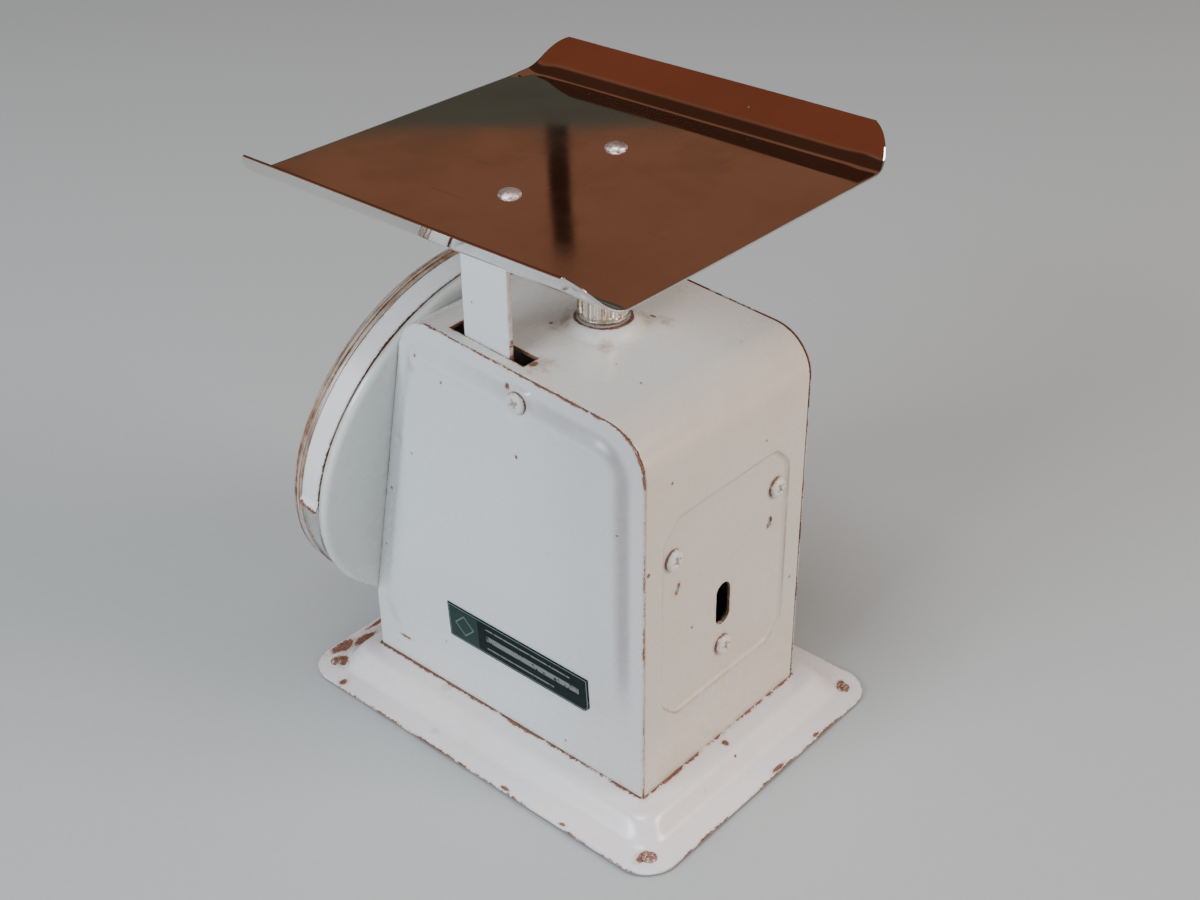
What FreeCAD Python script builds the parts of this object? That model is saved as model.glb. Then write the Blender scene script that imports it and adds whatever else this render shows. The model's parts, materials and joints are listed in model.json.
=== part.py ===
"""Upper-tray spring scale with a round dial: a sheet-steel case on a pressed base, a tray on a bracket
that slides down through the case top against two springs, and a rack that turns the dial pointer.

Frame: +Z up, +Y towards the back panel, the dial faces -Y. The origin is at the centre of the base,
on the surface that the scale stands on. Millimetres and degrees.
"""
import FreeCAD, Part
import math
import os

import Sketcher
from FreeCAD import Placement, Rotation, Vector

DIMENSIONS = (
    # the pressed base
    ("base_width", 137.0),
    ("base_depth", 180.0),
    ("base_corner", 13.0),
    ("skin", 1.0),
    ("foot_height", 1.2),
    ("foot_radius", 6.0),
    ("foot_inset", 9.5),
    ("flange_width", 9.0),
    ("slope_width", 7.0),
    ("deck_height", 10.0),
    # the case: a wrap sheet between two side covers
    ("wrap_width", 88.0),
    ("case_front", 68.8),
    ("case_back", 66.4),
    ("knee_height", 35.3),
    ("knee_radius", 8.0),
    ("front_tilt", 11.86),
    ("top_height", 163.2),
    ("top_slope", 4.54),
    ("front_radius", 14.0),
    ("back_radius", 17.0),
    ("cover_gap", 0.1),
    ("cover_skin", 1.0),
    ("emboss_rise", 2.0),
    ("emboss_slope", 4.0),
    # the sunk panel in the back, with its screws, access slot and lance slits
    ("recess_width", 70.2),
    ("recess_low", 37.0),
    ("recess_high", 121.0),
    ("recess_corner", 8.0),
    ("recess_depth", 1.2),
    ("access_width", 7.8),
    ("access_height", 17.6),
    ("access_centre", 69.9),
    ("back_screw_spread", 28.75),
    ("back_screw_high", 104.4),
    ("back_screw_low", 51.9),
    ("slit_spread", 25.9),
    ("slit_centre", 90.6),
    ("cover_screw_back", 14.1),
    ("cover_screw_high", 152.9),
    # openings in the top
    ("arm_slot_inner", 33.0),
    ("arm_slot_outer", 40.0),
    ("arm_slot_front", 23.0),
    ("arm_slot_back", 11.0),
    # zero adjuster
    ("knob_back", 10.6),
    ("knob_radius", 9.0),
    ("knob_foot", 165.6),
    ("knob_height", 18.0),
    ("knob_flutes", 18.0),
    ("boss_radius", 13.0),
    ("screw_radius", 3.0),
    # the tray and its bracket
    ("tray_top", 213.1),
    ("tray_skin", 0.8),
    ("tray_flat", 123.4),
    ("tray_width", 155.6),
    ("tray_front", 84.3),
    ("tray_back", 74.6),
    ("lip_bend", 12.0),
    ("lip_angle", 50.0),
    ("lip_corner", 15.0),
    ("tray_rivet_spread", 26.0),
    ("tray_rivet_front", 6.0),
    ("arm_outer", 39.6),
    ("arm_skin", 2.0),
    ("arm_front", 16.5),
    ("arm_back", 4.5),
    ("arm_low", 50.0),
    # parallel stays
    ("stay_pivot_back", 46.0),
    ("upper_pivot_height", 112.0),
    ("lower_pivot_height", 58.0),
    ("stay_pin_front", 6.0),
    ("stay_rise", 9.0),
    ("stay_inner", 34.4),
    ("stay_skin", 1.5),
    ("stay_half_width", 4.5),
    ("pin_radius", 2.0),
    # springs
    ("spring_spread", 14.0),
    ("spring_radius", 4.5),
    ("spring_wire", 0.6),
    ("spring_low", 54.5),
    ("spring_high", 123.5),
    ("spring_turns", 27.0),
    ("hanger_low", 127.0),
    ("hanger_skin", 3.0),
    # the dial drum, measured along its own axis from the case front
    ("dial_height", 95.235),
    ("dial_radius", 75.0),
    ("dial_depth", 18.4),
    ("band_rear", 4.0),
    ("band_front", 12.8),
    ("band_end_angle", 4.0),
    ("lens_radius", 74.0),
    ("lens_skin", 1.8),
    ("dial_face_radius", 68.0),
    ("dial_face_depth", 6.0),
    # rack and pinion
    ("gear_module", 0.5),
    ("pinion_teeth", 12.0),
    ("rack_teeth", 17.0),
    ("gear_depth", 16.0),
    ("rack_skin", 2.0),
    ("shaft_radius", 1.5),
)

doc = FreeCAD.newDocument("spring_dial_scale")
sheet = doc.addObject("Spreadsheet::Sheet", "Sheet")
for row, (alias, number) in enumerate(DIMENSIONS, start=1):
    sheet.set(f"A{row}", alias)
    sheet.set(f"B{row}", str(number))
    sheet.setAlias(f"B{row}", alias)
doc.recompute()
size = {alias: float(sheet.get(alias)) for alias, _ in DIMENSIONS}

# radial room round a fastener, round a turning pin, under a clip, and under a part pressed on a shaft
CLEAR, RUNNING, SNUG, PRESSED = 0.1, 0.05, 0.03, 0.02
# shanks of the small rivets and screws, and of the large rivets
SMALL_SHANK, LARGE_SHANK = 1.5, 2.0
PRESSURE_ANGLE = math.radians(20.0)
BACKLASH = 0.14
NODES = {}

tilt = math.radians(size["front_tilt"])
knee_to_dial = (size["dial_height"] - size["knee_height"]) * math.tan(tilt)
dial_centre = Vector(0, -size["case_front"] + knee_to_dial, size["dial_height"])
dial_up = Vector(0, math.sin(tilt), math.cos(tilt))
dial_out = Vector(0, -math.cos(tilt), math.sin(tilt))
dial_place = Placement(dial_centre, Rotation(Vector(1, 0, 0), 90 - size["front_tilt"]))


# ---------------------------------------------------------------- document helpers

def text(value):
    """A number or a cell formula, as the formula text that setExpression takes."""
    return value if isinstance(value, str) else repr(round(float(value), 6))


def bind(thing, **formulas):
    """Binds properties of a document object to cell formulas."""
    for name, formula in formulas.items():
        thing.setExpression(name.replace("__", "."), text(formula))


def keep(label, thing):
    """Names a finished sub-part."""
    thing.Label = label
    NODES[label] = thing
    return thing


def make_body(name):
    return doc.addObject("PartDesign::Body", name)


def make_sketch(body, role, offset, turn=None):
    """A sketch on one of the body's origin planes, moved along that plane's normal."""
    sketch = body.newObject("Sketcher::SketchObject", body.Name + "_sketch")
    plane = next(f for f in body.Origin.OriginFeatures if f.Role == role + "_Plane")
    sketch.AttachmentSupport = [(plane, "")]
    sketch.MapMode = "FlatFace"
    if turn is None:
        bind(sketch, AttachmentOffset__Base__z=offset)
    else:
        sketch.AttachmentOffset = turn
    return sketch


def rectangle(left, low, wide, tall):
    """Draws a rectangle from its lower left corner, width and height."""
    def draw(sketch):
        first = sketch.GeometryCount
        corners = (Vector(0, 0, 0), Vector(9, 0, 0), Vector(9, 9, 0), Vector(0, 9, 0))
        for index, corner in enumerate(corners):
            sketch.addGeometry(Part.LineSegment(corner, corners[(index + 1) % 4]))
        for index in range(4):
            after = first + (index + 1) % 4
            sketch.addConstraint(Sketcher.Constraint("Coincident", first + index, 2, after, 1))
            level = "Horizontal" if index % 2 == 0 else "Vertical"
            sketch.addConstraint(Sketcher.Constraint(level, first + index))
        measures = (
            ("DistanceX", (-1, 1, first, 1), left),
            ("DistanceY", (-1, 1, first, 1), low),
            ("DistanceX", (first, 1, first, 2), wide),
            ("DistanceY", (first + 1, 1, first + 1, 2), tall),
        )
        for kind, ends, formula in measures:
            index = sketch.addConstraint(Sketcher.Constraint(kind, *ends, 9.0))
            bind(sketch, **{f"Constraints[{index}]": formula})
    return draw


def circle(across, up, radius):
    """Draws a circle from its centre and radius."""
    def draw(sketch):
        first = sketch.addGeometry(Part.Circle(Vector(1, 1, 0), Vector(0, 0, 1), 1))
        measures = (
            ("DistanceX", (-1, 1, first, 3), across),
            ("DistanceY", (-1, 1, first, 3), up),
            ("Radius", (first,), radius),
        )
        for kind, ends, formula in measures:
            index = sketch.addConstraint(Sketcher.Constraint(kind, *ends, 1.0))
            bind(sketch, **{f"Constraints[{index}]": formula})
    return draw


def rounded(corners):
    """Draws a closed outline from its corners in order, each (across, up, corner radius)."""
    ends = []
    count = len(corners)
    for index, (across, up, radius) in enumerate(corners):
        here = Vector(across, up, 0)
        before = (Vector(*corners[index - 1][:2], 0) - here).normalize()
        after = (Vector(*corners[(index + 1) % count][:2], 0) - here).normalize()
        if radius <= 0:
            ends.append((here, None, here))
            continue
        half = before.getAngle(after) / 2
        reach = radius / math.tan(half)
        inward = (before + after).normalize()
        middle = here + inward * (radius / math.sin(half) - radius)
        ends.append((here + before * reach, middle, here + after * reach))
    pieces = []
    for index, (start, middle, end) in enumerate(ends):
        if middle is not None:
            pieces.append(Part.Arc(start, middle, end))
        following = ends[(index + 1) % count][0]
        if (following - end).Length > 1e-6:
            pieces.append(Part.LineSegment(end, following))
    return outline(pieces)


def outline(pieces):
    """Draws lines and arcs that follow each other in a closed loop."""
    def draw(sketch):
        first = sketch.GeometryCount
        sketch.addGeometry(pieces, False)
        sketch.addConstraint([
            Sketcher.Constraint("Block", first + index) for index in range(len(pieces))
        ])
    return draw


def rounded_rectangle(width, height, radius, middle=(0.0, 0.0)):
    """Draws a rounded rectangle about its centre."""
    across, up = middle
    return rounded([
        (across - width / 2, up - height / 2, radius),
        (across + width / 2, up - height / 2, radius),
        (across + width / 2, up + height / 2, radius),
        (across - width / 2, up + height / 2, radius),
    ])


def inset(corners, distance):
    """The corners of a convex outline moved inwards, with their radii made smaller to match."""
    moved = []
    count = len(corners)
    for index, (across, up, radius) in enumerate(corners):
        here = Vector(across, up, 0)
        before = (Vector(*corners[index - 1][:2], 0) - here).normalize()
        after = (Vector(*corners[(index + 1) % count][:2], 0) - here).normalize()
        half = before.getAngle(after) / 2
        place = here + (before + after).normalize() * (distance / math.sin(half))
        moved.append((place.x, place.y, max(radius - distance, 0.0)))
    return moved


def add(body, role, low, high, *shapes, taper=None, turn=None):
    """Pads the shapes between two places on the axis across the plane named by role."""
    sketch = make_sketch(body, role, f"-({text(high)})" if role == "XZ" else low, turn)
    for shape in shapes:
        shape(sketch)
    pad = body.newObject("PartDesign::Pad", body.Name + "_pad")
    pad.Profile = sketch
    bind(pad, Length=f"({text(high)}) - ({text(low)})")
    if taper is not None:
        bind(pad, TaperAngle=taper)
    doc.recompute()
    return pad


def cut(body, role, low, high, *shapes, taper=None, turn=None):
    """Pockets the shapes between two places on the axis across the plane named by role."""
    before = body.Shape.Volume
    sketch = make_sketch(body, role, f"-({text(low)})" if role == "XZ" else high, turn)
    for shape in shapes:
        shape(sketch)
    pocket = body.newObject("PartDesign::Pocket", body.Name + "_pocket")
    pocket.Profile = sketch
    bind(pocket, Length=f"({text(high)}) - ({text(low)})")
    if taper is not None:
        bind(pocket, TaperAngle=taper)
    doc.recompute()
    if body.Shape.Volume > before - 1e-6:
        raise RuntimeError(f"{pocket.Name} cut nothing from {body.Name}")
    return pocket


def round_edges(body, radius, wanted):
    """Fillets the edges of the body that the test picks."""
    names = [f"Edge{i}" for i, edge in enumerate(body.Shape.Edges, start=1) if wanted(edge)]
    before = body.Tip
    fillet = body.newObject("PartDesign::Fillet", body.Name + "_fillet")
    fillet.Base = (before, names)
    bind(fillet, Radius=radius)
    doc.recompute()
    return fillet


def turned(name, profile):
    """A body of revolution about Z from (radius, height) points."""
    body = make_body(name)
    sketch = make_sketch(body, "XZ", 0)
    rounded(profile)(sketch)
    spin = body.newObject("PartDesign::Revolution", name + "_revolution")
    spin.Profile = sketch
    spin.ReferenceAxis = (sketch, ["V_Axis"])
    spin.Angle = 360
    doc.recompute()
    return body


def aim(base, direction):
    """The placement that puts local +Z along a direction from a base point."""
    return Placement(Vector(*base), Rotation(Vector(0, 0, 1), Vector(*direction)))


def rod(radius, length, place):
    """A plain cylinder."""
    solid = doc.addObject("Part::Cylinder", "rod")
    bind(solid, Radius=radius, Height=length)
    solid.Placement = place
    return solid


def block(low, high):
    """A box between two corners."""
    solid = doc.addObject("Part::Box", "block")
    bind(solid, Length=high[0] - low[0], Width=high[1] - low[1], Height=high[2] - low[2])
    solid.Placement = Placement(Vector(*low), Rotation())
    return solid


def fuse(*solids):
    joined = doc.addObject("Part::MultiFuse", "joined")
    joined.Shapes = list(solids)
    joined.Refine = True
    return joined


def subtract(solid, *tools):
    for tool in tools:
        remainder = doc.addObject("Part::Cut", "remainder")
        remainder.Base = solid
        remainder.Tool = tool
        remainder.Refine = True
        solid = remainder
    return solid


def group(label, solids):
    """One node made of separate solids, for fasteners and other pieces that are alike."""
    compound = doc.addObject("Part::Compound", label)
    compound.Links = list(solids)
    return keep(label, compound)


def ring(outer, inner, length, base, direction):
    """A washer, bush or clip."""
    body = rod(outer, length, aim(base, direction))
    hole = rod(inner, length, aim(base, direction))
    return subtract(body, hole)


def soft_rim(solid, radius, at_start):
    """Rounds the circular edge at one end of a cylinder."""
    doc.recompute()
    place = solid.Placement.inverse()
    names = []
    for index, edge in enumerate(solid.Shape.Edges, start=1):
        height = place.multVec(edge.CenterOfMass).z
        level = 0.0 if at_start else solid.Height.Value
        if edge.Closed and abs(height - level) < 1e-4:
            names.append(index)
    fillet = doc.addObject("Part::Fillet", "rim")
    fillet.Base = solid
    fillet.Edges = [(index, radius, radius) for index in names]
    return fillet


# a pan head's rounding and its cross recess, as shares of the head's height and radius
PAN_ROUNDING, RECESS_ARM, RECESS_WIDTH, RECESS_DEPTH = 0.6, 0.55, 0.22, 0.55
# a rivet head's rounding as a share of its height
DOME_ROUNDING = 0.9


def pan_screw(base, direction, head_radius, head_height, shank_radius, shank_length):
    """A pan-head screw with a cross recess. base is under the head; direction points out of the head."""
    inward = (-direction[0], -direction[1], -direction[2])
    head = soft_rim(rod(head_radius, head_height, aim(base, direction)), head_height * PAN_ROUNDING, False)
    shank = rod(shank_radius, shank_length, aim(base, inward))
    place = aim(base, direction)
    tools = []
    arm, width, depth = head_radius * RECESS_ARM, head_radius * RECESS_WIDTH, head_height * RECESS_DEPTH
    for half_x, half_y in ((arm, width / 2), (width / 2, arm)):
        tool = block((-half_x, -half_y, head_height - depth), (half_x, half_y, head_height + 1))
        tool.Placement = place.multiply(tool.Placement)
        tools.append(tool)
    return subtract(fuse(head, shank), *tools)


def rivet(base, direction, head_radius, head_height, shank_radius, grip, tail_radius, tail_height):
    """A domed rivet. base is under the head; the shank runs back through the grip to its tail."""
    inward = (-direction[0], -direction[1], -direction[2])
    head = soft_rim(rod(head_radius, head_height, aim(base, direction)), head_height * DOME_ROUNDING, False)
    shank = rod(shank_radius, grip, aim(base, inward))
    tail_base = Vector(*base) + Vector(*inward) * grip
    tail = rod(tail_radius, tail_height, aim(tail_base, inward))
    return fuse(head, shank, tail)


# ---------------------------------------------------------------- shared outlines

def case_corners():
    """The case seen from its side, as (y, z, radius) corners from the bottom front, going up."""
    tangent, fall = math.tan(tilt), math.tan(math.radians(size["top_slope"]))
    rise = size["top_height"] - size["knee_height"]
    front = (-size["case_front"] + rise * tangent) / (1 + tangent * fall)
    back = size["case_back"]
    return [
        (-size["case_front"], size["deck_height"], 0.0),
        (-size["case_front"], size["knee_height"], size["knee_radius"]),
        (front, size["top_height"] - front * fall, size["front_radius"]),
        (back, size["top_height"] - back * fall, size["back_radius"]),
        (back, size["deck_height"], 0.0),
    ]


RECESS_ROUNDING = 3.0


def recess_corners():
    """The sunk back panel with its four cut corners, seen along Y."""
    half = size["recess_width"] / 2
    low, high, cut_off = size["recess_low"], size["recess_high"], size["recess_corner"]
    soft = RECESS_ROUNDING
    return [
        (-half + cut_off, low, soft), (half - cut_off, low, soft),
        (half, low + cut_off, soft), (half, high - cut_off, soft),
        (half - cut_off, high, soft), (-half + cut_off, high, soft),
        (-half, high - cut_off, soft), (-half, low + cut_off, soft),
    ]


def obround(middle, length, width, upright=True):
    """Draws a slot with round ends."""
    radius = width / 2
    along = Vector(0, 1, 0) if upright else Vector(1, 0, 0)
    side = Vector(radius, 0, 0) if upright else Vector(0, -radius, 0)
    centre = Vector(*middle, 0)
    step = along * ((length - width) / 2)
    tip = along * radius
    return outline([
        Part.LineSegment(centre - step + side, centre + step + side),
        Part.Arc(centre + step + side, centre + step + tip, centre + step - side),
        Part.LineSegment(centre + step - side, centre - step - side),
        Part.Arc(centre - step - side, centre - step - tip, centre - step + side),
    ])


def dial_turn(depth):
    """The attachment offset that lays an XZ sketch in the dial plane, depth in front of the case."""
    centre = Vector(0, dial_centre.z, -dial_centre.y)
    out = Vector(0, math.sin(tilt), math.cos(tilt))
    return Placement(centre + out * depth, Rotation(Vector(1, 0, 0), -size["front_tilt"]))


# ---------------------------------------------------------------- base and feet

FOOT_X = size["base_width"] / 2 - size["foot_inset"]
FOOT_Y = size["base_depth"] / 2 - size["foot_inset"] + 1.0
FEET = [(x, y) for x in (-FOOT_X, FOOT_X) for y in (-FOOT_Y, FOOT_Y)]
WRAP_SCREWS = [(x, y) for x in (-30.0, 30.0) for y in (-61.5, 59.0)]
COVER_SCREWS = [(-39.0, 0.0), (39.0, 0.0)]
BASE_SCREWS = WRAP_SCREWS + COVER_SCREWS
SLOPE_CORNER, HOLLOW_CORNER, DECK_ROUNDING = 12.0, 5.0, 3.0
FOOT_RIVET_HEAD, FOOT_RIVET_RISE, FOOT_RIVET_ROUNDING = 2.6, 0.9, 0.7
FOOT_RIVET_SUNK = 0.3
BASE_SCREW_HEAD, BASE_SCREW_RISE, BASE_SCREW_LENGTH = 3.0, 2.0, 3.4


def make_base():
    """A pressed tray: a low flange, a sloping wall and a raised deck, open underneath."""
    body = make_body("base_plate")
    flange_top = "Sheet.foot_height + Sheet.skin"
    rim = size["flange_width"]
    wide, deep = size["base_width"], size["base_depth"]
    rise = size["deck_height"] - size["foot_height"] - size["skin"]
    lean = math.degrees(math.atan(size["slope_width"] / rise))
    add(body, "XY", "Sheet.foot_height", flange_top, rounded_rectangle(wide, deep, size["base_corner"]))
    add(body, "XY", flange_top, "Sheet.deck_height",
        rounded_rectangle(wide - 2 * rim, deep - 2 * rim, SLOPE_CORNER), taper=-lean)
    slope = size["slope_width"] / rise
    wall = size["skin"] / math.sin(math.atan(1 / slope))
    hollow = rim + (rise - size["skin"]) * slope + wall
    cut(body, "XY", "Sheet.foot_height", "Sheet.deck_height - Sheet.skin",
        rounded_rectangle(wide - 2 * hollow, deep - 2 * hollow, HOLLOW_CORNER), taper=lean)
    round_edges(body, DECK_ROUNDING, lambda edge: abs(edge.CenterOfMass.z - size["deck_height"]) < 1e-4)
    holes = [circle(x, y, SMALL_SHANK + CLEAR) for x, y in BASE_SCREWS]
    cut(body, "XY", "Sheet.foot_height", "Sheet.deck_height", *holes)
    rivet_holes = [circle(x, y, SMALL_SHANK + CLEAR) for x, y in FEET]
    cut(body, "XY", 0, flange_top, *rivet_holes)
    keep("base_plate", body)


def make_feet():
    pads = []
    rivets = []
    flange_top = size["foot_height"] + size["skin"]
    for x, y in FEET:
        pads.append(ring("Sheet.foot_radius", SMALL_SHANK + CLEAR, "Sheet.foot_height",
                         (x, y, 0), (0, 0, 1)))
        head = rod(FOOT_RIVET_HEAD, FOOT_RIVET_RISE, aim((x, y, flange_top), (0, 0, 1)))
        shank = rod(SMALL_SHANK, flange_top - FOOT_RIVET_SUNK, aim((x, y, FOOT_RIVET_SUNK), (0, 0, 1)))
        rivets.append(fuse(soft_rim(head, FOOT_RIVET_ROUNDING, False), shank))
    group("foot_pads", pads)
    group("foot_rivets", rivets)


def make_base_screws():
    under = size["deck_height"] - size["skin"]
    shape = (BASE_SCREW_HEAD, BASE_SCREW_RISE, SMALL_SHANK, BASE_SCREW_LENGTH)
    screws = [pan_screw((x, y, under), (0, 0, -1), *shape) for x, y in BASE_SCREWS]
    group("base_screws", screws)


def make_overload_stop():
    """A post on the deck that the spring yoke meets at full travel."""
    foot, post_radius, post_top = 7.0, 4.5, 31.2
    deck = size["deck_height"]
    post = turned("overload_stop", [
        (0, deck, 0), (foot, deck, 0), (foot, deck + 1.5, 0), (post_radius, deck + 1.5, 1.0),
        (post_radius, post_top, 1.5), (0, post_top, 0)])
    post.Placement = Placement(Vector(-20.0, 2.0, 0), Rotation())
    keep("overload_stop", post)


# ---------------------------------------------------------------- case

PAN_SCREWS = [(x, v) for x in (-19.0, 19.0) for v in (-7.0, 7.0)]
SHAFT_BUSH_RADIUS = 4.0
FLANGE_HALF, FLANGE_DEPTH, FLANGE_LAP = 38.0, 12.0, 0.4
COLLAR_HOLE, COLLAR_CROWN, COLLAR_FOOT = 5.2, 165.0, 160.2
LUG_SKIN, LUG_INNER, LUG_FRONT, LUG_BACK, LUG_LOW = 1.7, 42.2, 8.0, 20.2, 147.0
PANEL_WALL = 0.8


def back_screw_places():
    spread, high, low = size["back_screw_spread"], size["back_screw_high"], size["back_screw_low"]
    return [(-spread, high), (spread, high), (0.0, low)]


def make_case_shell():
    """Front, top and back in one bent sheet, with turned-in flanges at the bottom."""
    body = make_body("case_shell")
    corners = case_corners()
    half = "Sheet.wrap_width / 2"
    add(body, "YZ", "-" + half, half, rounded(corners))
    inner = inset(corners, size["skin"])
    inner[0] = (inner[0][0], 0.0, 0.0)
    inner[-1] = (inner[-1][0], 0.0, 0.0)
    cut(body, "YZ", "-" + half, half, rounded(inner))
    front_edge = -size["case_front"] + size["skin"]
    back_edge = size["case_back"] - size["skin"]
    for low in (front_edge - FLANGE_LAP, back_edge - FLANGE_DEPTH):
        add(body, "XY", "Sheet.deck_height", "Sheet.deck_height + Sheet.skin",
            rectangle(-FLANGE_HALF, low, 2 * FLANGE_HALF, FLANGE_DEPTH + FLANGE_LAP))
    add(body, "XZ", "Sheet.case_back - Sheet.skin - Sheet.recess_depth", "Sheet.case_back - 0.2",
        rounded(recess_corners()))
    cut(body, "XZ", "Sheet.case_back - Sheet.recess_depth", "Sheet.case_back + 1",
        rounded(inset(recess_corners(), PANEL_WALL)))
    cut_case_back(body)
    cut_case_top(body)
    cut(body, "XZ", 0, 6, circle(0, 0, SHAFT_BUSH_RADIUS + RUNNING),
        *[circle(x, v, SMALL_SHANK + CLEAR) for x, v in PAN_SCREWS], turn=dial_turn(2.0))
    cut(body, "XY", 5, 15, *[circle(x, y, SMALL_SHANK + CLEAR) for x, y in WRAP_SCREWS])
    keep("case_shell", body)


def cut_case_back(body):
    """Screw holes, the access slot and the two lance slits of the sunk panel."""
    panel_inner, panel_outer = "Sheet.case_back - 5", "Sheet.case_back + 1"
    holes = [circle(x, z, LARGE_SHANK + CLEAR) for x, z in back_screw_places()]
    cut(body, "XZ", panel_inner, panel_outer, *holes)
    cut(body, "XZ", panel_inner, panel_outer,
        obround((0, size["access_centre"]), size["access_height"], size["access_width"]))
    slits = [rectangle(f"{side} * Sheet.slit_spread - 1.5", "Sheet.slit_centre - 2.5", 3, 5)
             for side in (-1, 1)]
    cut(body, "XZ", panel_inner, panel_outer, *slits)


def cut_case_top(body):
    """Arm slots and the raised collar round the zero adjuster, with the lugs for the cover screws."""
    above, below = "Sheet.top_height + 6", "Sheet.top_height - 8"
    slot_depth = "Sheet.arm_slot_front + Sheet.arm_slot_back"
    slot_width = "Sheet.arm_slot_outer - Sheet.arm_slot_inner"
    cut(body, "XY", below, above,
        rectangle("Sheet.arm_slot_inner", "-Sheet.arm_slot_front", slot_width, slot_depth),
        rectangle("-Sheet.arm_slot_outer", "-Sheet.arm_slot_front", slot_width, slot_depth))
    cut(body, "XY", below, above, circle(0, "Sheet.knob_back", "Sheet.boss_radius - 2"))
    collar = make_sketch(body, "XZ", "-Sheet.knob_back")
    outer, under = size["boss_radius"], COLLAR_CROWN - 1.3
    rounded([
        (COLLAR_HOLE, under, 0), (outer - 4.4, under, 0.5), (outer - 2.6, COLLAR_FOOT, 0.5),
        (outer, COLLAR_FOOT, 0), (outer, COLLAR_FOOT + 1.2, 0.4), (outer - 1.6, COLLAR_FOOT + 2.4, 2.0),
        (outer - 3.6, COLLAR_CROWN, 2.0), (COLLAR_HOLE, COLLAR_CROWN, 0.8)])(collar)
    spin = body.newObject("PartDesign::Revolution", "collar")
    spin.Profile = collar
    axis = make_sketch(body, "XZ", "-Sheet.knob_back")
    axis.addGeometry(Part.LineSegment(Vector(0, 0, 0), Vector(0, 10, 0)))
    spin.ReferenceAxis = (axis, ["Edge1"])
    spin.Angle = 360
    doc.recompute()
    for low in (LUG_INNER, -LUG_INNER - LUG_SKIN):
        add(body, "YZ", low, low + LUG_SKIN, rounded([
            (LUG_FRONT, LUG_LOW, 3.0), (LUG_BACK, LUG_LOW, 3.0), (LUG_BACK, 161.0, 0),
            (LUG_FRONT, 162.1, 0)]))
    hole = circle("Sheet.cover_screw_back", "Sheet.cover_screw_high", LARGE_SHANK + CLEAR)
    cut(body, "YZ", "-Sheet.wrap_width", "Sheet.wrap_width", hole)


# the raised field of a side cover: its border, its extra distance from the top, and its lowest corners
FIELD_BORDER, FIELD_DROP, FIELD_LOW_FRONT, FIELD_LOW_BACK = 9.5, 4.0, 18.5, 36.0
COVER_FOOT_REACH, COVER_FOOT_LAP, COVER_FOOT_HALF = 10.0, 0.4, 20.0


def emboss_corners():
    """The raised field of a side cover, as (y, z, radius) corners from the bottom front."""
    outer = inset(case_corners(), FIELD_BORDER)
    front_low, front_high, back_high = outer[1], outer[2], outer[3]
    return [
        (-size["case_front"] + FIELD_BORDER, FIELD_LOW_FRONT, 3.0),
        (front_low[0], front_low[1], 8.0),
        (front_high[0] - FIELD_DROP * math.tan(tilt), front_high[1] - FIELD_DROP, 9.0),
        (back_high[0], back_high[1] - FIELD_DROP, 16.0),
        (back_high[0], FIELD_LOW_BACK, 3.0),
    ]


def make_side_cover(label, side):
    """A flat border with a raised field, and a turned-in foot that is screwed to the base."""
    body = make_body(label)
    inner = size["wrap_width"] / 2 + size["cover_gap"]
    field = emboss_corners()
    lean = math.degrees(math.atan(size["emboss_slope"] / size["emboss_rise"]))
    rise, sheet_skin = size["emboss_rise"], size["cover_skin"]
    hollow = rounded(inset(field, 0.9))
    if side > 0:
        add(body, "YZ", inner, inner + sheet_skin, rounded(case_corners()))
        add(body, "YZ", inner + sheet_skin, inner + sheet_skin + rise, rounded(field), taper=-lean)
        deep = body.newObject("PartDesign::Pocket", label + "_hollow")
        deep.Profile = sketch_on_field(body, inner, hollow)
        deep.Reversed = True
    else:
        pad = add(body, "YZ", -inner - sheet_skin, -inner, rounded(case_corners()))
        pad.Label = label + "_sheet"
        raised = body.newObject("PartDesign::Pad", label + "_field")
        raised.Profile = sketch_on_field(body, -inner - sheet_skin, rounded(field))
        raised.Reversed = True
        bind(raised, Length="Sheet.emboss_rise", TaperAngle=-lean)
        doc.recompute()
        deep = body.newObject("PartDesign::Pocket", label + "_hollow")
        deep.Profile = sketch_on_field(body, -inner, hollow)
    bind(deep, Length="Sheet.emboss_rise", TaperAngle=-lean)
    doc.recompute()
    foot_left = inner - COVER_FOOT_REACH if side > 0 else -inner - COVER_FOOT_LAP
    add(body, "XY", "Sheet.deck_height", "Sheet.deck_height + Sheet.skin",
        rectangle(foot_left, -COVER_FOOT_HALF, COVER_FOOT_REACH + COVER_FOOT_LAP, 2 * COVER_FOOT_HALF))
    cut(body, "XY", 5, 15, *[circle(x, y, SMALL_SHANK + CLEAR) for x, y in COVER_SCREWS
                             if x * side > 0])
    far = size["wrap_width"] / 2 + 6
    hole = circle("Sheet.cover_screw_back", "Sheet.cover_screw_high", LARGE_SHANK + CLEAR)
    cut(body, "YZ", min(0, side * far), max(0, side * far), hole)
    keep(label, body)


def sketch_on_field(body, offset, shape):
    sketch = make_sketch(body, "YZ", offset)
    shape(sketch)
    return sketch


CASE_SCREW_HEAD, CASE_SCREW_RISE = 4.0, 2.5


def make_case_screws():
    face = size["wrap_width"] / 2 + size["cover_gap"] + size["cover_skin"]
    back, high = size["cover_screw_back"], size["cover_screw_high"]
    head = (CASE_SCREW_HEAD, CASE_SCREW_RISE, LARGE_SHANK)
    screws = [pan_screw((side * face, back, high), (side, 0, 0), *head, 4.0) for side in (-1, 1)]
    group("cover_screws", screws)
    panel = size["case_back"] - size["recess_depth"]
    screws = [pan_screw((x, panel, z), (0, 1, 0), *head, 4.5) for x, z in back_screw_places()]
    group("back_screws", screws)


LABEL_HALF_WIDTH, LABEL_HALF_HEIGHT, LABEL_SKIN = 34.25, 8.1, 0.3
LABEL_BACK, LABEL_UP, LABEL_TURN = 8.4, 44.9, math.radians(1.2)


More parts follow.
